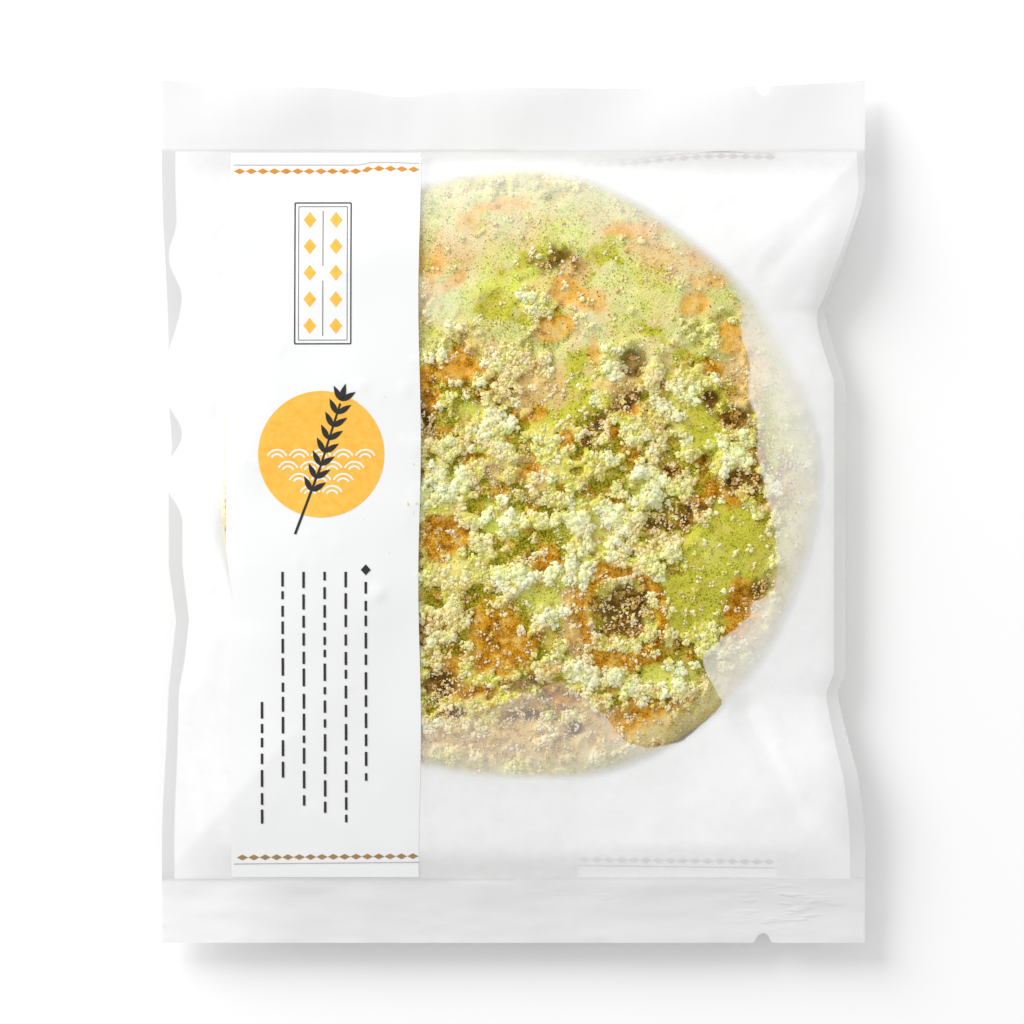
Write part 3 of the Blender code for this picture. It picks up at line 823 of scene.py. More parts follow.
# Toasted crumbs and, below, mint lumps thin out where pale, which includes the rim's painted light
toasted = scatter(
    "granules_toasted",
    strewn(4600, lambda z, x, y: (
        (0.03 + 0.2 * crumbly(z) + 0.1 * smooth(z["glaze"] * 5) + 0.5 * smooth(z["char"] * 4))
        * (1 - 0.6 * z["pale"])
    ), rng, clump=5, spread=0.5),
    crumb_radii(4600, rng, 0.15, 0.34), grain_shapes, 0.5, rng,
)
mint = scatter(
    "lumps_mint",
    strewn(6200, lambda z, x, y: (
        (0.01 + 0.7 * smooth(z["lime"] * 2.5)) * crumbly(z) * (0.05 + z["mass"]) * (1 - 0.7 * z["pale"])
    ), rng, clump=14, spread=0.95),
    crumb_radii(6200, rng, 0.24, 0.54), grain_shapes, 0.5, rng,
)
crystals = scatter(
    "sugar_crystals",
    strewn(5000, lambda z, x, y: (
        (0.02 + 0.6 * smooth(z["char"] * 4 + 0.3) + 0.3 * smooth(z["tan"] * 4)
        + 0.03 * smooth(z["glaze"] * 4) - 0.02 * smooth(z["powder"] * 4))
        * (1 - 0.85 * z["pale"] * smooth((y - 15) / 10))
    ), rng, clump=5, spread=0.7),
    crumb_radii(5000, rng, 0.12, 0.36), cube_shapes, 0.5, rng,
)
flecks = scatter(
    "dark_flecks",
    strewn(4200, lambda z, x, y: (
        0.12 + 0.3 * smooth(z["powder"] * 3) + 0.7 * smooth(inside(x, y, SPECKLED, 0.5, 3.0, 95) * 2)
    ), rng),
    rng.uniform(0.06, 0.12, 4200), cube_shapes, 0.4, rng, sunk=0.1,
)


def granule_finish(name, pieces, roughness, fresh, warm):
    """Crumbs of one kind: from fresh colours to warm ones by where they lie, with a
    small tint of each crumb's own and darker and lighter specks."""
    finish = Finish(name, Roughness=roughness, Specular_IOR_Level=0.08)
    level = finish.attribute("tint") * 0.6 + (finish.noise(0.4, 2.0) - 0.5) * 1.3
    level = level + (finish.noise(3.0, 2.0) - 0.5) * 0.8 + 0.1
    tone = finish.blend(finish.attribute("warm"), finish.ramp(level, *fresh), finish.ramp(level, *warm))
    finish.set("Base Color", tone)
    finish.bump(finish.noise(0.12, 2.0), 0.06, 0.7)
    for piece in pieces:
        finish.on(piece)


granule_finish(
    "crumb_cream", [cream], 0.7,
    ((0.0, srgb(233, 216, 119)), (0.4, srgb(249, 243, 176)), (1.0, srgb(254, 251, 226))),
    ((0.0, srgb(231, 197, 123)), (0.4, srgb(250, 231, 180)), (1.0, srgb(255, 249, 231))),
)
granule_finish(
    "crumb_pale_green", [pale_green], 0.7,
    ((0.0, srgb(218, 216, 99)), (0.45, srgb(243, 244, 160)), (1.0, srgb(253, 254, 216))),
    ((0.0, srgb(224, 201, 107)), (0.45, srgb(246, 234, 166)), (1.0, srgb(254, 249, 220))),
)
granule_finish(
    "crumb_lime", [lime], 0.7,
    ((0.0, srgb(201, 203, 59)), (0.45, srgb(231, 234, 113)), (1.0, srgb(247, 250, 174))),
    ((0.0, srgb(209, 178, 65)), (0.45, srgb(234, 215, 115)), (1.0, srgb(250, 238, 172))),
)
granule_finish(
    "crumb_toasted", [toasted], 0.6,
    ((0.0, srgb(190, 158, 38)), (0.5, srgb(234, 214, 112)), (1.0, srgb(251, 242, 184))),
    ((0.0, srgb(178, 130, 46)), (0.5, srgb(230, 190, 116)), (1.0, srgb(252, 232, 184))),
)
granule_finish(
    "crumb_mint", [mint], 0.75,
    ((0.0, srgb(233, 241, 144)), (0.45, srgb(247, 251, 196)), (1.0, srgb(253, 255, 237))),
    ((0.0, srgb(239, 234, 158)), (0.45, srgb(251, 247, 204)), (1.0, srgb(255, 254, 239))),
)
granule_finish(
    "crystal", [crystals], 0.3,
    ((0.0, srgb(241, 234, 152)), (0.5, srgb(251, 249, 202)), (1.0, srgb(255, 254, 233))),
    ((0.0, srgb(234, 201, 142)), (0.5, srgb(250, 233, 194)), (1.0, srgb(255, 251, 237))),
)
granule_finish(
    "fleck", [flecks], 0.7,
    ((0.0, srgb(90, 82, 4)), (0.5, srgb(128, 120, 24)), (1.0, srgb(164, 154, 56))),
    ((0.0, srgb(60, 44, 0)), (0.5, srgb(104, 78, 14)), (1.0, srgb(150, 118, 44))),
)


# ------------------------------------------------------------------------- the film
# One bag of thin polypropylene film, frosted over the pocket and clear along the side
# folds and in the crimped seals. It lies on the granules, and lifts off at the shoulder.
COLUMNS, POCKET_ROWS, SEAL_ROWS = 196, 216, 16
SEAM_GAP = 0.08

# Straight creases: start, end, half width and height, fading to their ends
CREASES = [
    (51, 48, 67, 65, 3.0, -0.45), (-68, 17, -57, 18, 4.5, -0.8),
    (46.5, -40, 57.5, -60.5, 3.8, -0.9), (52.5, -47, 57.6, -57, 1.6, 0.3), (-60, -22, -66, -40, 5, 0.7),
    (58, 42, 66, 40, 2.5, 0.7), (-68, 6, -60, 7, 2.4, 0.5),
    (66, -53, 69.5, -62, 2.2, 0.5), (-66, 50, -58, 62, 3, 0.4), (20, -66, 58, -68, 2.5, 0.35),
    (-40, -60, -20, -70, 3, 0.3), (-7, 60, -6, 71, 1.2, 0.35), (40, 62, 55, 70, 2.5, 0.35),
    (-64, -50, -60, -70, 2.5, 0.4), (62, 4, 65, -16, 2.0, 0.35), (-62, 30, -60, 48, 2.5, 0.35),
]


def creases(x, y):
    """Ridges and valleys along segments: rise times 1 - distance over half width,
    fading towards both ends."""
    height = np.zeros_like(x)
    for x_0, y_0, x_1, y_1, half_width, rise in CREASES:
        share = ((x - x_0) * (x_1 - x_0) + (y - y_0) * (y_1 - y_0)) / (
            (x_1 - x_0) ** 2 + (y_1 - y_0) ** 2
        )
        share = np.clip(share, 0, 1)
        away = np.hypot(x - x_0 - share * (x_1 - x_0), y - y_0 - share * (y_1 - y_0))
        height = height + rise * np.clip(1 - away / half_width, 0, 1)
    return height


flat_x = np.linspace(-HALF_WIDTH, HALF_WIDTH, COLUMNS + 1)
pocket = np.linspace(-1, 1, POCKET_ROWS + 1)
seal = np.linspace(1, 2, SEAL_ROWS + 1)[1:]
row_share = np.concatenate([-seal[::-1], pocket, seal])
film_flat_x, share = np.meshgrid(flat_x, row_share)
pocket_middle = (TOP_SEAM_Y + BOTTOM_SEAM_Y) / 2
film_y = pocket_middle + np.clip(share, -1, 1) * (TOP_SEAM_Y - BOTTOM_SEAM_Y) / 2
film_y = film_y + np.clip(share - 1, 0, 1) * (end_edge(film_flat_x, 1) - TOP_SEAM_Y)
film_y = film_y - np.clip(-share - 1, 0, 1) * (end_edge(film_flat_x, -1) + BOTTOM_SEAM_Y)
film_x = drawn_in(film_flat_x, film_y)

# The granules' tops on the film's own grid, each spread over the cells round it
obstacle = np.zeros_like(film_x)
grain_x, grain_y, grain_top = (np.concatenate(part) for part in zip(*tops))
column = np.rint((laid_flat(grain_x, grain_y) + HALF_WIDTH) / (2 * HALF_WIDTH) * COLUMNS)
row = np.rint(
    SEAL_ROWS + ((grain_y - pocket_middle) / (TOP_SEAM_Y - BOTTOM_SEAM_Y) + 0.5) * POCKET_ROWS
)
for step_row in (-1, 0, 1):
    for step_column in (-1, 0, 1):
        cell = (row.astype(int) + step_row, column.astype(int) + step_column)
        np.maximum.at(obstacle, cell, grain_top + 0.05)
bare_zones = zones(film_x, film_y)
on_cracker = from_centre(film_x, film_y)[0] < CRACKER_RADIUS
bare = np.where(on_cracker, cracker_top(film_x, film_y, bare_zones)[0] + 0.12, 0)
obstacle = np.maximum(obstacle, bare)

film_form = front_form(film_x, film_y)
slope = 1 - toward_seam(film_x, film_y, SHOULDER_RADIUS) ** 1.25
film_form = film_form + creases(film_x, film_y) * np.minimum(slope, 0.8)
swell = rough_noise(film_x, film_y, 17, 301) * 0.35 + rough_noise(film_x, film_y, 6, 311) * 0.08
film_form = film_form + swell * np.clip(slope * 4, 0, 1) * (1 - np.clip(slope, 0, 1) * 0.5)
front_z = np.maximum(film_form, obstacle)
interior = np.zeros_like(front_z, bool)
interior[SEAL_ROWS + 2 : -SEAL_ROWS - 2, 2:-2] = True
tight = interior & (toward_seam(film_x, film_y, SHOULDER_RADIUS) < 0.9) & on_cracker
for _ in range(60):
    mean = front_z.copy()
    mean[1:-1, 1:-1] = (
        front_z[:-2, 1:-1] + front_z[2:, 1:-1] + front_z[1:-1, :-2] + front_z[1:-1, 2:]
    ) / 4
    front_z = np.where(tight, np.maximum(mean, obstacle), front_z)

# The printed field stiffens the film over the crumbs, so it bridges them smoothly.
bridged = obstacle.copy()
for _ in range(5):
    bridged[1:-1, 1:-1] = np.max([
        bridged[1:-1, 1:-1], bridged[:-2, 1:-1], bridged[2:, 1:-1], bridged[1:-1, :-2], bridged[1:-1, 2:],
    ], axis=0)
bridged = np.maximum(film_form, bridged)
for _ in range(60):
    bridged[1:-1, 1:-1] = (
        bridged[:-2, 1:-1] + bridged[2:, 1:-1] + bridged[1:-1, :-2] + bridged[1:-1, 2:]
    ) / 4
stiff = smooth((-16.5 - film_x) / 2.5) * smooth((film_x + 59) / 2) * interior
front_z = front_z + (np.maximum(bridged, front_z) - front_z) * stiff

# The two films part by a hair in the seals and along the side folds.
past_bottom = np.clip(-share - 1, 0, 1)
wrinkle = 0.22 * rough_noise(film_x / 5, film_y, 2.6, 321) * (past_bottom > 0)
wrinkle = wrinkle + 0.25 * rough_noise(film_x, film_y / 2, 14, 331) * (np.abs(share) > 1)
front_z = front_z + wrinkle + SEAM_GAP / 2
back_z = back_form(film_x, film_y) + wrinkle - SEAM_GAP / 2
back_z = np.where(np.abs(share) < 1, np.minimum(back_z, front_z - SEAM_GAP), back_z)

# Front and back are one surface: the back's outer columns and rows are the front's.
rows, columns = front_z.shape
front_index = np.arange(rows * columns).reshape(rows, columns)
back_index = front_index.copy()
back_index[1:-1, 1:-1] = rows * columns + np.arange((rows - 2) * (columns - 2)).reshape(
    rows - 2, columns - 2
)
rim = np.ones_like(front_z, bool)
rim[1:-1, 1:-1] = False
front_z = np.where(rim, (front_z + back_z) / 2, front_z)


def corners_of(index):
    return np.stack(
        [c.ravel() for c in (index[:-1, :-1], index[:-1, 1:], index[1:, 1:], index[1:, :-1])], axis=1
    )


def both(front_values, back_values):
    """One value per film vertex: the front grid's, then the back grid's inner ones."""
    return np.concatenate([front_values.ravel(), back_values[1:-1, 1:-1].ravel()])


# Where the film lifts off the cracker: its radius about the cracker's centre by angle,
# how soft that border is, and how milky the film is beyond it and at the cracker's rim.
LIFT = [
    (-180, 57, 1.0, 0.6, 0.7), (-172, 59, 1.5, 0.5, 0.6), (-160, 59, 1.5, 0.5, 0.6), (-150, 54, 1.0, 0.4, 0.5),
    (-110, 50.5, 1.4, 0.18, 0.34), (-98, 47, 1.4, 0.18, 0.34), (-86, 42, 0.8, 0.16, 0.34),
    (-77, 41, 0.8, 0.16, 0.34), (-72, 45.4, 0.8, 0.2, 0.38), (-69, 51, 0.6, 0.3, 0.42), (-67, 57, 0.5, 0.3, 0.45),
    (-64, 59.6, 0.5, 0.4, 0.5), (-57, 61.7, 0.5, 0.4, 0.5), (-52, 61.5, 0.5, 0.42, 0.5),
    (-47, 60.5, 0.5, 0.45, 0.6), (-45.6, 54.5, 0.5, 0.45, 0.6), (-43.5, 51.2, 0.5, 0.45, 0.62),
    (-38, 51.6, 0.5, 0.42, 0.66), (-33, 53.2, 0.5, 0.38, 0.7), (-30, 54, 0.5, 0.38, 0.7),
    (-27.5, 52.8, 0.5, 0.38, 0.72), (-24, 56, 0.5, 0.38, 0.75), (-20, 55.6, 0.5, 0.38, 0.78),
    (-14, 53.4, 0.5, 0.36, 0.72), (-7, 51.3, 0.6, 0.36, 0.72), (0, 49.2, 0.6, 0.36, 0.72), (5, 48.5, 0.7, 0.36, 0.72),
    (14, 49.4, 0.7, 0.4, 0.74), (19, 49.2, 0.5, 0.4, 0.76), (26, 51.8, 0.5, 0.45, 0.78), (34, 54, 0.5, 0.45, 0.7),
    (38, 57, 0.8, 0.3, 0.5), (44, 58, 3.0, 0.28, 0.42), (55, 56, 6.0, 0.28, 0.4), (80, 55.5, 7.0, 0.32, 0.42),
    (100, 55, 7.0, 0.34, 0.42), (120, 55, 6.0, 0.34, 0.45), (140, 55, 3.0, 0.4, 0.5), (180, 57, 1.0, 0.6, 0.7),
]
lift_angle, lift_radius, lift_width, lift_milk, rim_milk = np.array(LIFT, float).T
film_angle = np.degrees(np.arctan2(film_y - CRACKER_Y, film_x - CRACKER_X))
film_out = np.hypot(film_x - CRACKER_X, film_y - CRACKER_Y)
lifted = film_out - np.interp(film_angle, lift_angle, lift_radius)
lifted = lifted + 0.5 * rough_noise(film_x, film_y, 2.6, 341) * (film_angle < 44)
width = np.interp(film_angle, lift_angle, lift_width)
milk = np.interp(film_angle, lift_angle, lift_milk)
rim_out = from_centre(film_x, film_y)[0]
# It grows milkier as it rises from the cracker, and is milkiest over open air, but
# clears again near the seams, where the two films close up.
room = np.maximum(lifted + 60.5 - rim_out, 3)
milk = milk + (np.interp(film_angle, lift_angle, rim_milk) - milk) * np.clip(lifted / room, 0, 1) ** 1.3
gap = front_z - back_z
open_milk = 0.62 + 0.28 * smooth((gap - 0.6) / 2.5)
rim_start = np.interp(film_angle, (-180, -85, -72, -64, -45, 30, 45, 180), (59, 57.8, 59.2, 59.8, 59.2, 59, 59, 59))
rim_shows = 2.2 * np.exp(-(((film_angle + 168) / 9) ** 2))
milk = milk + (open_milk - milk) * smooth((rim_out - rim_start - rim_shows) / 2.6)
# Small places inside where the film stands off too: x, y, radius and milkiness
STANDS_OFF = [
    (-11.7, 56, 8, 0.2), (-0.7, 59.3, 8, 0.22), (-14.5, 42.3, 7, 0.3), (-9.5, 46, 4, 0.12),
    (17, 59, 9, 0.12), (27, 56, 7, 0.14), (16, 36, 5, 0.14), (35, 48, 6, 0.12),
    (3, -37, 7, 0.08), (-9, -40, 5, 0.1),
]
# Both sides have a clear margin beyond the frosting, which narrows or goes where the
# fold turns under. Rows of y and the flat film's distance from its middle line.
LEFT_FROST = [
    (-86, 67.7), (-50, 67.9), (-36, 68.2), (-30, 67.6), (0, 67.4), (4, 70.8), (11, 70.8), (14, 67.8), (18, 68.2),
    (21, 70.8), (31, 70.8), (37, 68.6), (41, 67.4), (45, 67.2), (48, 69.4), (53, 69.6), (56, 67.6), (86, 67.6),
]
RIGHT_FROST = [
    (-86, 67.3), (-50, 67.2), (-40, 67.5), (-30, 67.8), (38, 67.8), (41.5, 69.3), (60, 69.3), (72, 68.6), (86, 68.6),
]
limits = [
    np.mean([np.interp(film_y + near, *np.array(rows, float).T) for near in (-2, -1, 0, 1, 2)], axis=0)
    for rows in (LEFT_FROST, RIGHT_FROST)
]
frost = np.minimum(film_flat_x + limits[0], limits[1] - film_flat_x)
# The clear parts' grey levels are painted shade and light: the left margin is painted darkest, the bottom seal's
# middle and right stay greyer while its left end is painted lighter, and the top seal is painted lighter towards its
# right.
clear_painted_shade = np.where(film_x > 0, 0.84, 0.74)
bottom_seal_painted_light = 0.88 + 0.1 * smooth((-40 - film_x) / 18)
clear_painted_shade = np.where(share > 1, 0.93 + 0.045 * smooth((film_x + 45) / 20), clear_painted_shade)
clear_painted_shade = np.where(share < -1, bottom_seal_painted_light, clear_painted_shade)
# Fine short wrinkles in the bottom seal, mostly towards its right
crinkled = smooth(value_noise(film_x, film_y, 7, 361) * 3 - 1.9) * 0.5
crinkled = np.maximum(crinkled, smooth(1.3 - np.hypot((film_x - 54) / 12, (film_y + 79) / 5)))
crinkled = crinkled * (share < -1)
haze = np.zeros_like(film_x)
for place_x, place_y, radius, amount in STANDS_OFF:
    away = np.hypot(film_x - place_x, film_y - place_y) / radius
    haze = np.maximum(haze, amount * smooth(1.1 - away))
film = mesh_object(
    "film_bag",
    np.concatenate([
        np.stack([film_x, film_y, front_z], axis=2).reshape(-1, 3),
        np.stack([film_x, film_y, back_z], axis=2)[1:-1, 1:-1].reshape(-1, 3),
    ]),
    np.concatenate([corners_of(front_index), corners_of(back_index)[:, ::-1]]),
    {
        "frost": both(frost, frost),
        "tone": both(clear_painted_shade, clear_painted_shade),
        "crinkled": both(crinkled, crinkled),
        "lifted": both(lifted / width, np.full_like(lifted, -20.0)),
        "milk": both(milk, np.full_like(milk, 0.5)),
        "haze": both(haze, np.full_like(haze, 0.4)),
        "over_cracker": both(smooth((63.5 - rim_out) / 2), np.zeros_like(haze)),
        "seal": both(np.clip(np.abs(share) - 1, 0, 1), np.clip(np.abs(share) - 1, 0, 1)),
    },
)
frosted = Finish("frosted_film", Roughness=0.36)
in_frost = frosted.attribute("frost").rise(-0.12, 0.12)
in_frost = in_frost * (0.02 - frosted.attribute("seal")).rise(0.0, 0.02)
off = frosted.attribute("lifted").rise(-0.5, 0.5)
milky = off * frosted.attribute("milk")
near = frosted.attribute("haze") * (1 - off) + 0.004
wisps = (frosted.noise(3.5, 2.0) - 0.5) * 0.1
alpha = (milky + near + wisps * off) * in_frost
in_seal = frosted.attribute("seal").rise(0.0, 0.03)
alpha = alpha + (1 - in_frost) * (0.6 + in_seal * 0.2)
# Frosting spreads the light but hardly stops it, so it casts little shadow.
to_lamp = frosted.node("ShaderNodeLightPath", output="Is Shadow Ray")
to_room = frosted.node("ShaderNodeLightPath", output="Is Diffuse Ray")
passing = (to_lamp * 0.75 + to_room * 0.75) * frosted.attribute("over_cracker")
frosted.set("Alpha", alpha * (1 - passing))
# The clear film's grey, from the tone attribute, is painted shade and light
clear_painted_shade_colour = frosted.blend(frosted.attribute("tone"), (0, 0, 0, 1), (1, 1, 1, 1))
# The frosted film's white is painted lighter towards the right and darker on the left: painted light and shade
# against the lamp at the upper left.
rightward_painted_light = frosted.node("ShaderNodeSeparateXYZ", None, {0: frosted.place()}).rise(-0.02, 0.066)
frost_colour_painted_light = frosted.blend(rightward_painted_light, (0.935, 0.94, 0.935, 1), (0.985, 0.99, 0.985, 1))
frosted.set("Base Color", frosted.blend(in_frost, clear_painted_shade_colour, frost_colour_painted_light))
drawn_out = frosted.node(
    "ShaderNodeVectorMath", {"operation": "MULTIPLY"}, {0: frosted.place(), 1: (0.2, 1.0, 1.0)},
)
crinkle_inputs = {"Vector": drawn_out, "Scale": 1 / (1.1 * MM), "Detail": 1.0}
crinkle = frosted.node("ShaderNodeTexNoise", None, crinkle_inputs, "Fac").rise(0.5, 0.75)
frosted.bump(frosted.noise(1.4, 2.0) * 0.12 + crinkle * frosted.attribute("crinkled"), 0.1, 1.0)
frosted.on(film)
film.data.set_sharp_from_angle(angle=np.radians(100))
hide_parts("sealed_bag")
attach(film, "root")


# ------------------------------------------------------------------- the printed label
# An opaque white field printed on the front film, left of the middle, from seam to
# seam, with a row of small diamonds and a thin rule at each end, and plain ornament.
def on_film(x, y, surface):
    """Height of a film surface at points, from the grid cells round them."""
    u = (laid_flat(x, y) + HALF_WIDTH) / (2 * HALF_WIDTH) * COLUMNS
    v = SEAL_ROWS + ((y - pocket_middle) / (TOP_SEAM_Y - BOTTOM_SEAM_Y) + 0.5) * POCKET_ROWS
    i = np.clip(np.floor(v).astype(int), 0, surface.shape[0] - 2)
    j = np.clip(np.floor(u).astype(int), 0, surface.shape[1] - 2)
    s, t = u - j, v - i
    low = surface[i, j] * (1 - s) + surface[i, j + 1] * s
    high = surface[i + 1, j] * (1 - s) + surface[i + 1, j + 1] * s
    return low * (1 - t) + high * t


def printed(name, patches, finish, surface=None, lift=0.06):
    """A print as one joined mesh: each patch is a grid of (x, y) points, laid on the
    film at a hair's distance and given the ink's thickness."""
    surface = front_z if surface is None else surface
    points, faces, start = [], [], 0
    for x, y in patches:
        z = on_film(x, y, surface) + lift
        for depth in (0, 0.02):
            points.append(np.stack([x, y, z - depth], axis=2).reshape(-1, 3))
        upper = grid_faces(*x.shape, offset=start)
        index = np.arange(x.size).reshape(x.shape) + start
        edge = np.concatenate([index[0, :-1], index[:-1, -1], index[-1, :0:-1], index[:0:-1, 0]])
        after = np.roll(edge, -1)
        wall = np.stack([edge, edge + x.size, after + x.size, after], axis=1)
        faces += [upper, upper[:, ::-1] + x.size, wall]
        start += 2 * x.size
    piece = mesh_object(name, np.concatenate(points), np.concatenate(faces))
    piece.data.set_sharp_from_angle(angle=np.radians(50))
    finish.on(piece)
    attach(piece, "root")
    return piece


def field(left, right, low, high, step):
    """A grid over a rectangle whose left and right edges may follow y."""
    y = np.linspace(low, high, max(2, int((high - low) / step) + 1))
    share = np.linspace(0, 1, max(2, int(abs(np.mean(right(y) - left(y))) / step) + 1))
    x = left(y)[:, None] + (right(y) - left(y))[:, None] * share
    return x, np.broadcast_to(y[:, None], x.shape)


def level(value):
    return lambda y: np.full_like(y, value)


white_ink = Finish("white_ink", Roughness=0.5, Base_Color=(0.865, 0.87, 0.87, 1))
white_ink.bump(white_ink.noise(1.5, 2.0), 0.05, 0.1)
label = printed(
    "front_label",
    [field(
        lambda y: -56.4 - 0.9 * smooth((60 - np.abs(y - 18)) / 30) + 1.6 * smooth(1 - np.abs(y + 22) / 16),
        lambda y: -18.7 + 0.25 * np.sin(y / 9), BOTTOM_SEAM_Y + 0.2, TOP_SEAM_Y - 0.2, 0.7,
    )],
    white_ink,
)
back_label = printed(
    "back_label",
    [field(level(12.9), level(52.7), BOTTOM_SEAM_Y + 0.2, TOP_SEAM_Y - 0.2, 1.0)],
    white_ink, back_z, lift=0.05,
)


def diamonds(start, pitch, count, height, base):
    """A row of small lozenges, each a grid squeezed to nothing at its left and right
    points. base gives the row's y at x."""
    patches = []
    u, v = np.meshgrid(np.linspace(-1, 1, 7), np.linspace(-1, 1, 3))
    for index in range(count):
        x = start + pitch * (index + 0.5) + u * pitch * 0.49
        y = base(x) + v * height / 2 * np.maximum(1 - np.abs(u), 0.02)
        patches.append((x, y))
    return patches


def rule(x_0, y_0, x_1, y_1, width, bend=None):
    """A straight stroke of that width from one point to the other."""
    length = np.hypot(x_1 - x_0, y_1 - y_0)
    share = np.linspace(0, 1, max(2, int(length / 1.2) + 1))[None, :]
    side = np.linspace(-0.5, 0.5, 2)[:, None] * width
    x = x_0 + (x_1 - x_0) * share - (y_1 - y_0) / length * side
    y = y_0 + (y_1 - y_0) * share + (x_1 - x_0) / length * side
    return x, y + (bend(x) if bend else 0)


def top_step(x):
    """The top row rides up a crease of the film near its right end."""
    return 0.55 * smooth((x + 31) / 3) - 0.25 * smooth((x + 26) / 8)


orange_ink = Finish("orange_ink", Roughness=0.45)
orange_tone = orange_ink.noise(1.2, 2.0)
orange_ink.set("Base Color", orange_ink.ramp(
    orange_tone, (0.2, srgb(208, 128, 10)), (0.8, srgb(228, 152, 28)),
))
brown_ink = Finish("brown_ink", Roughness=0.45)
brown_ink.set("Base Color", brown_ink.ramp(
    brown_ink.noise(1.5, 2.0), (0.2, srgb(150, 112, 68)), (0.8, srgb(176, 140, 96)),
))
amber_ink = Finish("amber_ink", Roughness=0.45)
amber_ink.set("Base Color", amber_ink.ramp(
    amber_ink.noise(1.5, 2.0), (0.2, srgb(246, 178, 46)), (0.8, srgb(252, 200, 86)),
))
rust_ink = Finish("rust_ink", Roughness=0.5)
rust_ink.set("Base Color", rust_ink.ramp(
    rust_ink.noise(2.0, 2.0), (0.2, srgb(112, 42, 0)), (0.8, srgb(150, 72, 4)),
))
slate_ink = Finish("slate_ink", Roughness=0.5)
slate_ink.set("Base Color", slate_ink.ramp(
    slate_ink.noise(1.2, 1.0), (0.3, srgb(60, 60, 58)), (0.7, srgb(120, 120, 116)),
))
grey_ink = Finish("grey_ink", Roughness=0.5)
grey_ink.set("Base Color", grey_ink.ramp(
    grey_ink.noise(2.0, 2.0), (0.2, srgb(168, 168, 166)), (0.8, srgb(196, 196, 194)),
))
black_ink = Finish("black_ink", Roughness=0.4)
black_ink.set("Base Color", black_ink.ramp(
    black_ink.noise(2.0, 2.0), (0.2, srgb(20, 18, 16)), (0.8, srgb(44, 40, 36)),
))
printed(
    "front_top_diamonds",
    diamonds(-55.9, 2.32, 16, 1.15, lambda x: 68.0 + top_step(x)), orange_ink, lift=0.1,
)
printed(
    "front_bottom_diamonds",
    diamonds(-55.3, 2.27, 16, 1.15, lambda x: -69.15 + (x + 55) * 0.008), brown_ink, lift=0.1,
)
printed(
    "front_rules",
    [
        rule(-55.9, 69.25, -18.9, 69.25, 0.16, top_step),
        rule(-55.9, -70.45, -18.9, -70.1, 0.2),
    ],
    grey_ink, lift=0.1,
)


def back_step(x):
    """The back film climbs towards the right at the top of the bag."""
    return 1.8 * smooth((x - 16) / 26) - 0.2 * smooth((x - 42) / 8)


printed(
    "back_top_diamonds",
    diamonds(13.2, 2.46, 16, 1.15, lambda x: 69.3 + back_step(x)), rust_ink,
    back_z, lift=0.1,
)
printed(
    "back_bottom_diamonds",
    diamonds(13.0, 2.46, 16, 1.2, lambda x: -69.6 - (x - 13) * 0.012), slate_ink,
    back_z, lift=0.1,
)
printed(
    "back_rules",
    [
        rule(13.0, 70.1, 52.4, 70.1, 0.14, back_step),
        rule(13.0, -70.8, 52.4, -71.3, 0.18),
        *[rule(x, 40, x, -40, 0.35) for x in (24, 28, 32, 36, 40)],
    ],
    slate_ink, back_z, lift=0.1,
)

# The emblem: a solid disc with white wave arcs in its lower half, and a rice ear.
DISC_X, DISC_Y, DISC_RADIUS = -38.3, 11.4, 12.6
u, v = np.meshgrid(np.linspace(0, 2 * np.pi, 97), np.linspace(0.001, 1, 14))
printed(
    "emblem_disc",
    [(DISC_X + DISC_RADIUS * v * np.cos(-u), DISC_Y + DISC_RADIUS * v * np.sin(-u))],
    amber_ink, lift=0.1,
)


def arc(centre_x, centre_y, radius, start, end, width):
    """A curved stroke: part of a ring between two angles in degrees."""
    turn = np.radians(np.linspace(end, start, max(5, int(abs(end - start) / 8))))[None, :]
    out = radius + np.linspace(-0.5, 0.5, 2)[:, None] * width
    return centre_x + out * np.cos(turn), centre_y + out * np.sin(turn)


waves = []
for row_number, row_y in enumerate((-1.2, -3.6, -6.0, -8.4)):
    for column_number in range(-3, 4):
        centre_x = DISC_X + column_number * 4.4 + (2.2 if row_number % 2 else 0)
        centre_y = DISC_Y + row_y
        if np.hypot(centre_x - DISC_X, row_y - 0.4) + 2.4 < DISC_RADIUS:
            waves += [arc(centre_x, centre_y, radius, 25, 155, 0.36) for radius in (2.1, 1.2)]
printed("emblem_waves", waves, white_ink, lift=0.13)


def leaf(x_0, y_0, turn, length, width):
    """A slender grain of rice: a grid whose width swells as sin of its share."""
    share = np.linspace(0, 1, 9)[None, :]
    side = np.array([[-0.5], [0], [0.5]]) * width * np.sin(np.pi * share**0.8)
    c, s = np.cos(np.radians(turn)), np.sin(np.radians(turn))
    return x_0 + length * share * c - side * s, y_0 + length * share * s + side * c


stem = [rule(-43.5, -4.5, -38.6, 8.5, 0.5), rule(-38.6, 8.5, -34.5, 21.5, 0.42)]
ear = []
for number in range(8):
    share = number / 7
    x_0 = -40.2 + 5.9 * share
    y_0 = 4.0 + 18.0 * share
    ear += [leaf(x_0, y_0, 74 + 42, 3.4, 1.15), leaf(x_0, y_0, 74 - 42, 3.4, 1.15)]
ear.append(leaf(-34.4, 22, 74, 3.6, 1.2))
printed("emblem_rice_ear", stem + ear, black_ink, lift=0.16)

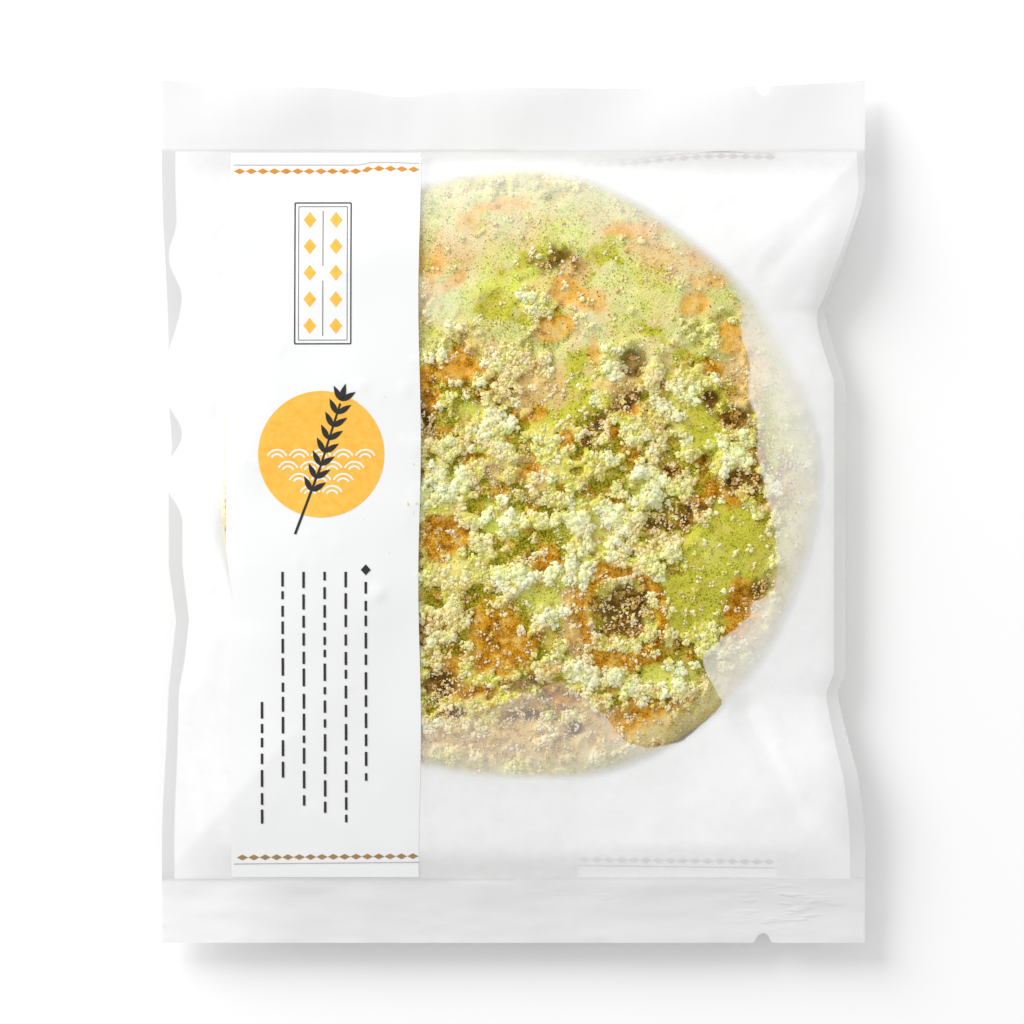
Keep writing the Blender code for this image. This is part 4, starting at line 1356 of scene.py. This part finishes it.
# The cartouche: an upright frame of thin rules round a column of small lozenges.
frame_rules = []
for inset, width in ((0, 0.26), (0.75, 0.12)):
    left, right, low, high = -43.6 + inset, -32.4 - inset, 33.4 + inset, 61.6 - inset
    frame_rules += [
        rule(left, low, right, low, width), rule(left, high, right, high, width),
        rule(left, low, left, high, width), rule(right, low, right, high, width),
    ]
frame_rules.append(rule(-38, 35, -38, 46, 0.14))
frame_rules.append(rule(-38, 49, -38, 60, 0.14))
printed("cartouche_frame", frame_rules, black_ink, lift=0.1)
stack = []
for number in range(5):
    for side in (-2.6, 2.6):
        stack += diamonds(-38 + side - 1.3, 2.6, 1, 3.2, lambda x, n=number: 37 + n * 5.3 + 0 * x)
printed("cartouche_lozenges", stack, amber_ink, lift=0.1)

# Columns of short upright dashes where a maker's words would stand.
rng = np.random.default_rng(19)
dashes = []
for x, high, low in ((-29.4, -14, -53), (-33.4, -12, -62), (-37.6, -12, -60), (-41.8, -12, -57),
                     (-46.0, -12, -50), (-50.2, -38, -62)):
    y = high
    while y > low:
        length = rng.uniform(1.4, 3.6)
        dashes.append(rule(x, y, x, y - length, 0.5))
        y -= length + rng.uniform(0.9, 1.5)
dashes += diamonds(-30.4, 2.0, 1, 2.2, lambda x: -11.6 + 0 * x)
printed("label_dashes", dashes, black_ink, lift=0.16)


# -------------------------------------------------------------------------- the fin
# The back seam: the film's two long edges welded face to face, folded over and lying
# flat under the bag from end to end.
fin_y = np.concatenate([
    np.linspace(-HALF_LENGTH + 0.2, BOTTOM_SEAM_Y, 12)[:-1],
    np.linspace(BOTTOM_SEAM_Y, TOP_SEAM_Y, 90),
    np.linspace(TOP_SEAM_Y, HALF_LENGTH - 3.6, 12)[1:],
])
fin_u = np.linspace(0, 2 * np.pi, 13)[:-1]
grid_u, grid_y = np.meshgrid(fin_u, fin_y)
fin_x = (FIN_LEFT + FIN_RIGHT) / 2 + (FIN_RIGHT - FIN_LEFT) / 2 * np.sign(np.cos(grid_u)) * np.abs(
    np.cos(grid_u)
) ** 0.35
fin_middle = back_form(fin_x, grid_y) - 0.17
fin_z = np.maximum(fin_middle + 0.07 * np.sin(grid_u), 0.0)
ring_index = np.arange(fin_x.size).reshape(fin_x.shape)
wrap = np.concatenate([ring_index, ring_index[:, :1]], axis=1)
fin = mesh_object(
    "back_fin",
    np.stack([fin_x, grid_y, fin_z], axis=2).reshape(-1, 3),
    corners_of(wrap)[:, ::-1],
)
fin_film = Finish("welded_film", Roughness=0.35, Base_Color=(0.8, 0.81, 0.81, 1), Alpha=0.16)
fin_film.bump(fin_film.noise(1.0, 2.0), 0.1, 0.2)
fin_film.on(fin)
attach(fin, "root")


# ------------------------------------------------------------------------- the stage
# A white table, a low soft key from the upper left, an even white surround, and a long
# lens straight above.
floor = mesh_object(
    "floor",
    np.array([(-3000, -3000, 0), (3000, -3000, 0), (3000, 3000, 0), (-3000, 3000, 0)], float),
    np.array([(0, 1, 2, 3)]),
)
paper = Finish("white_paper", Roughness=0.9, Base_Color=(0.995, 0.995, 0.995, 1))
paper.set("Specular IOR Level", 0.0)
paper.on(floor)

world = bpy.data.worlds.new("surround")
world.use_nodes = True
world.node_tree.nodes["Background"].inputs["Color"].default_value = (1, 1, 1, 1)
world.node_tree.nodes["Background"].inputs["Strength"].default_value = 0.68
bpy.context.scene.world = world

key_data = bpy.data.lights.new("key", "AREA")
key_data.shape = "DISK"
key_data.size = 1.1
key_data.energy = 20
key = bpy.data.objects.new("key", key_data)
bpy.context.scene.collection.objects.link(key)
from mathutils import Vector
key.location = Vector((-0.94, 0.94, 0.68))
key.rotation_mode = "QUATERNION"
key.rotation_quaternion = (-key.location).to_track_quat("-Z", "Y")

camera_data = bpy.data.cameras.new("camera")
camera_data.sensor_width = 36
camera_data.lens = 36 / 0.2048 * 1.2
camera_data.clip_end = 20
camera = bpy.data.objects.new("camera", camera_data)
bpy.context.scene.collection.objects.link(camera)
camera.location = (-0.0003, -0.0001, 1.2 + 0.006)
bpy.context.scene.camera = camera
bpy.context.scene.view_settings.view_transform = "Standard"
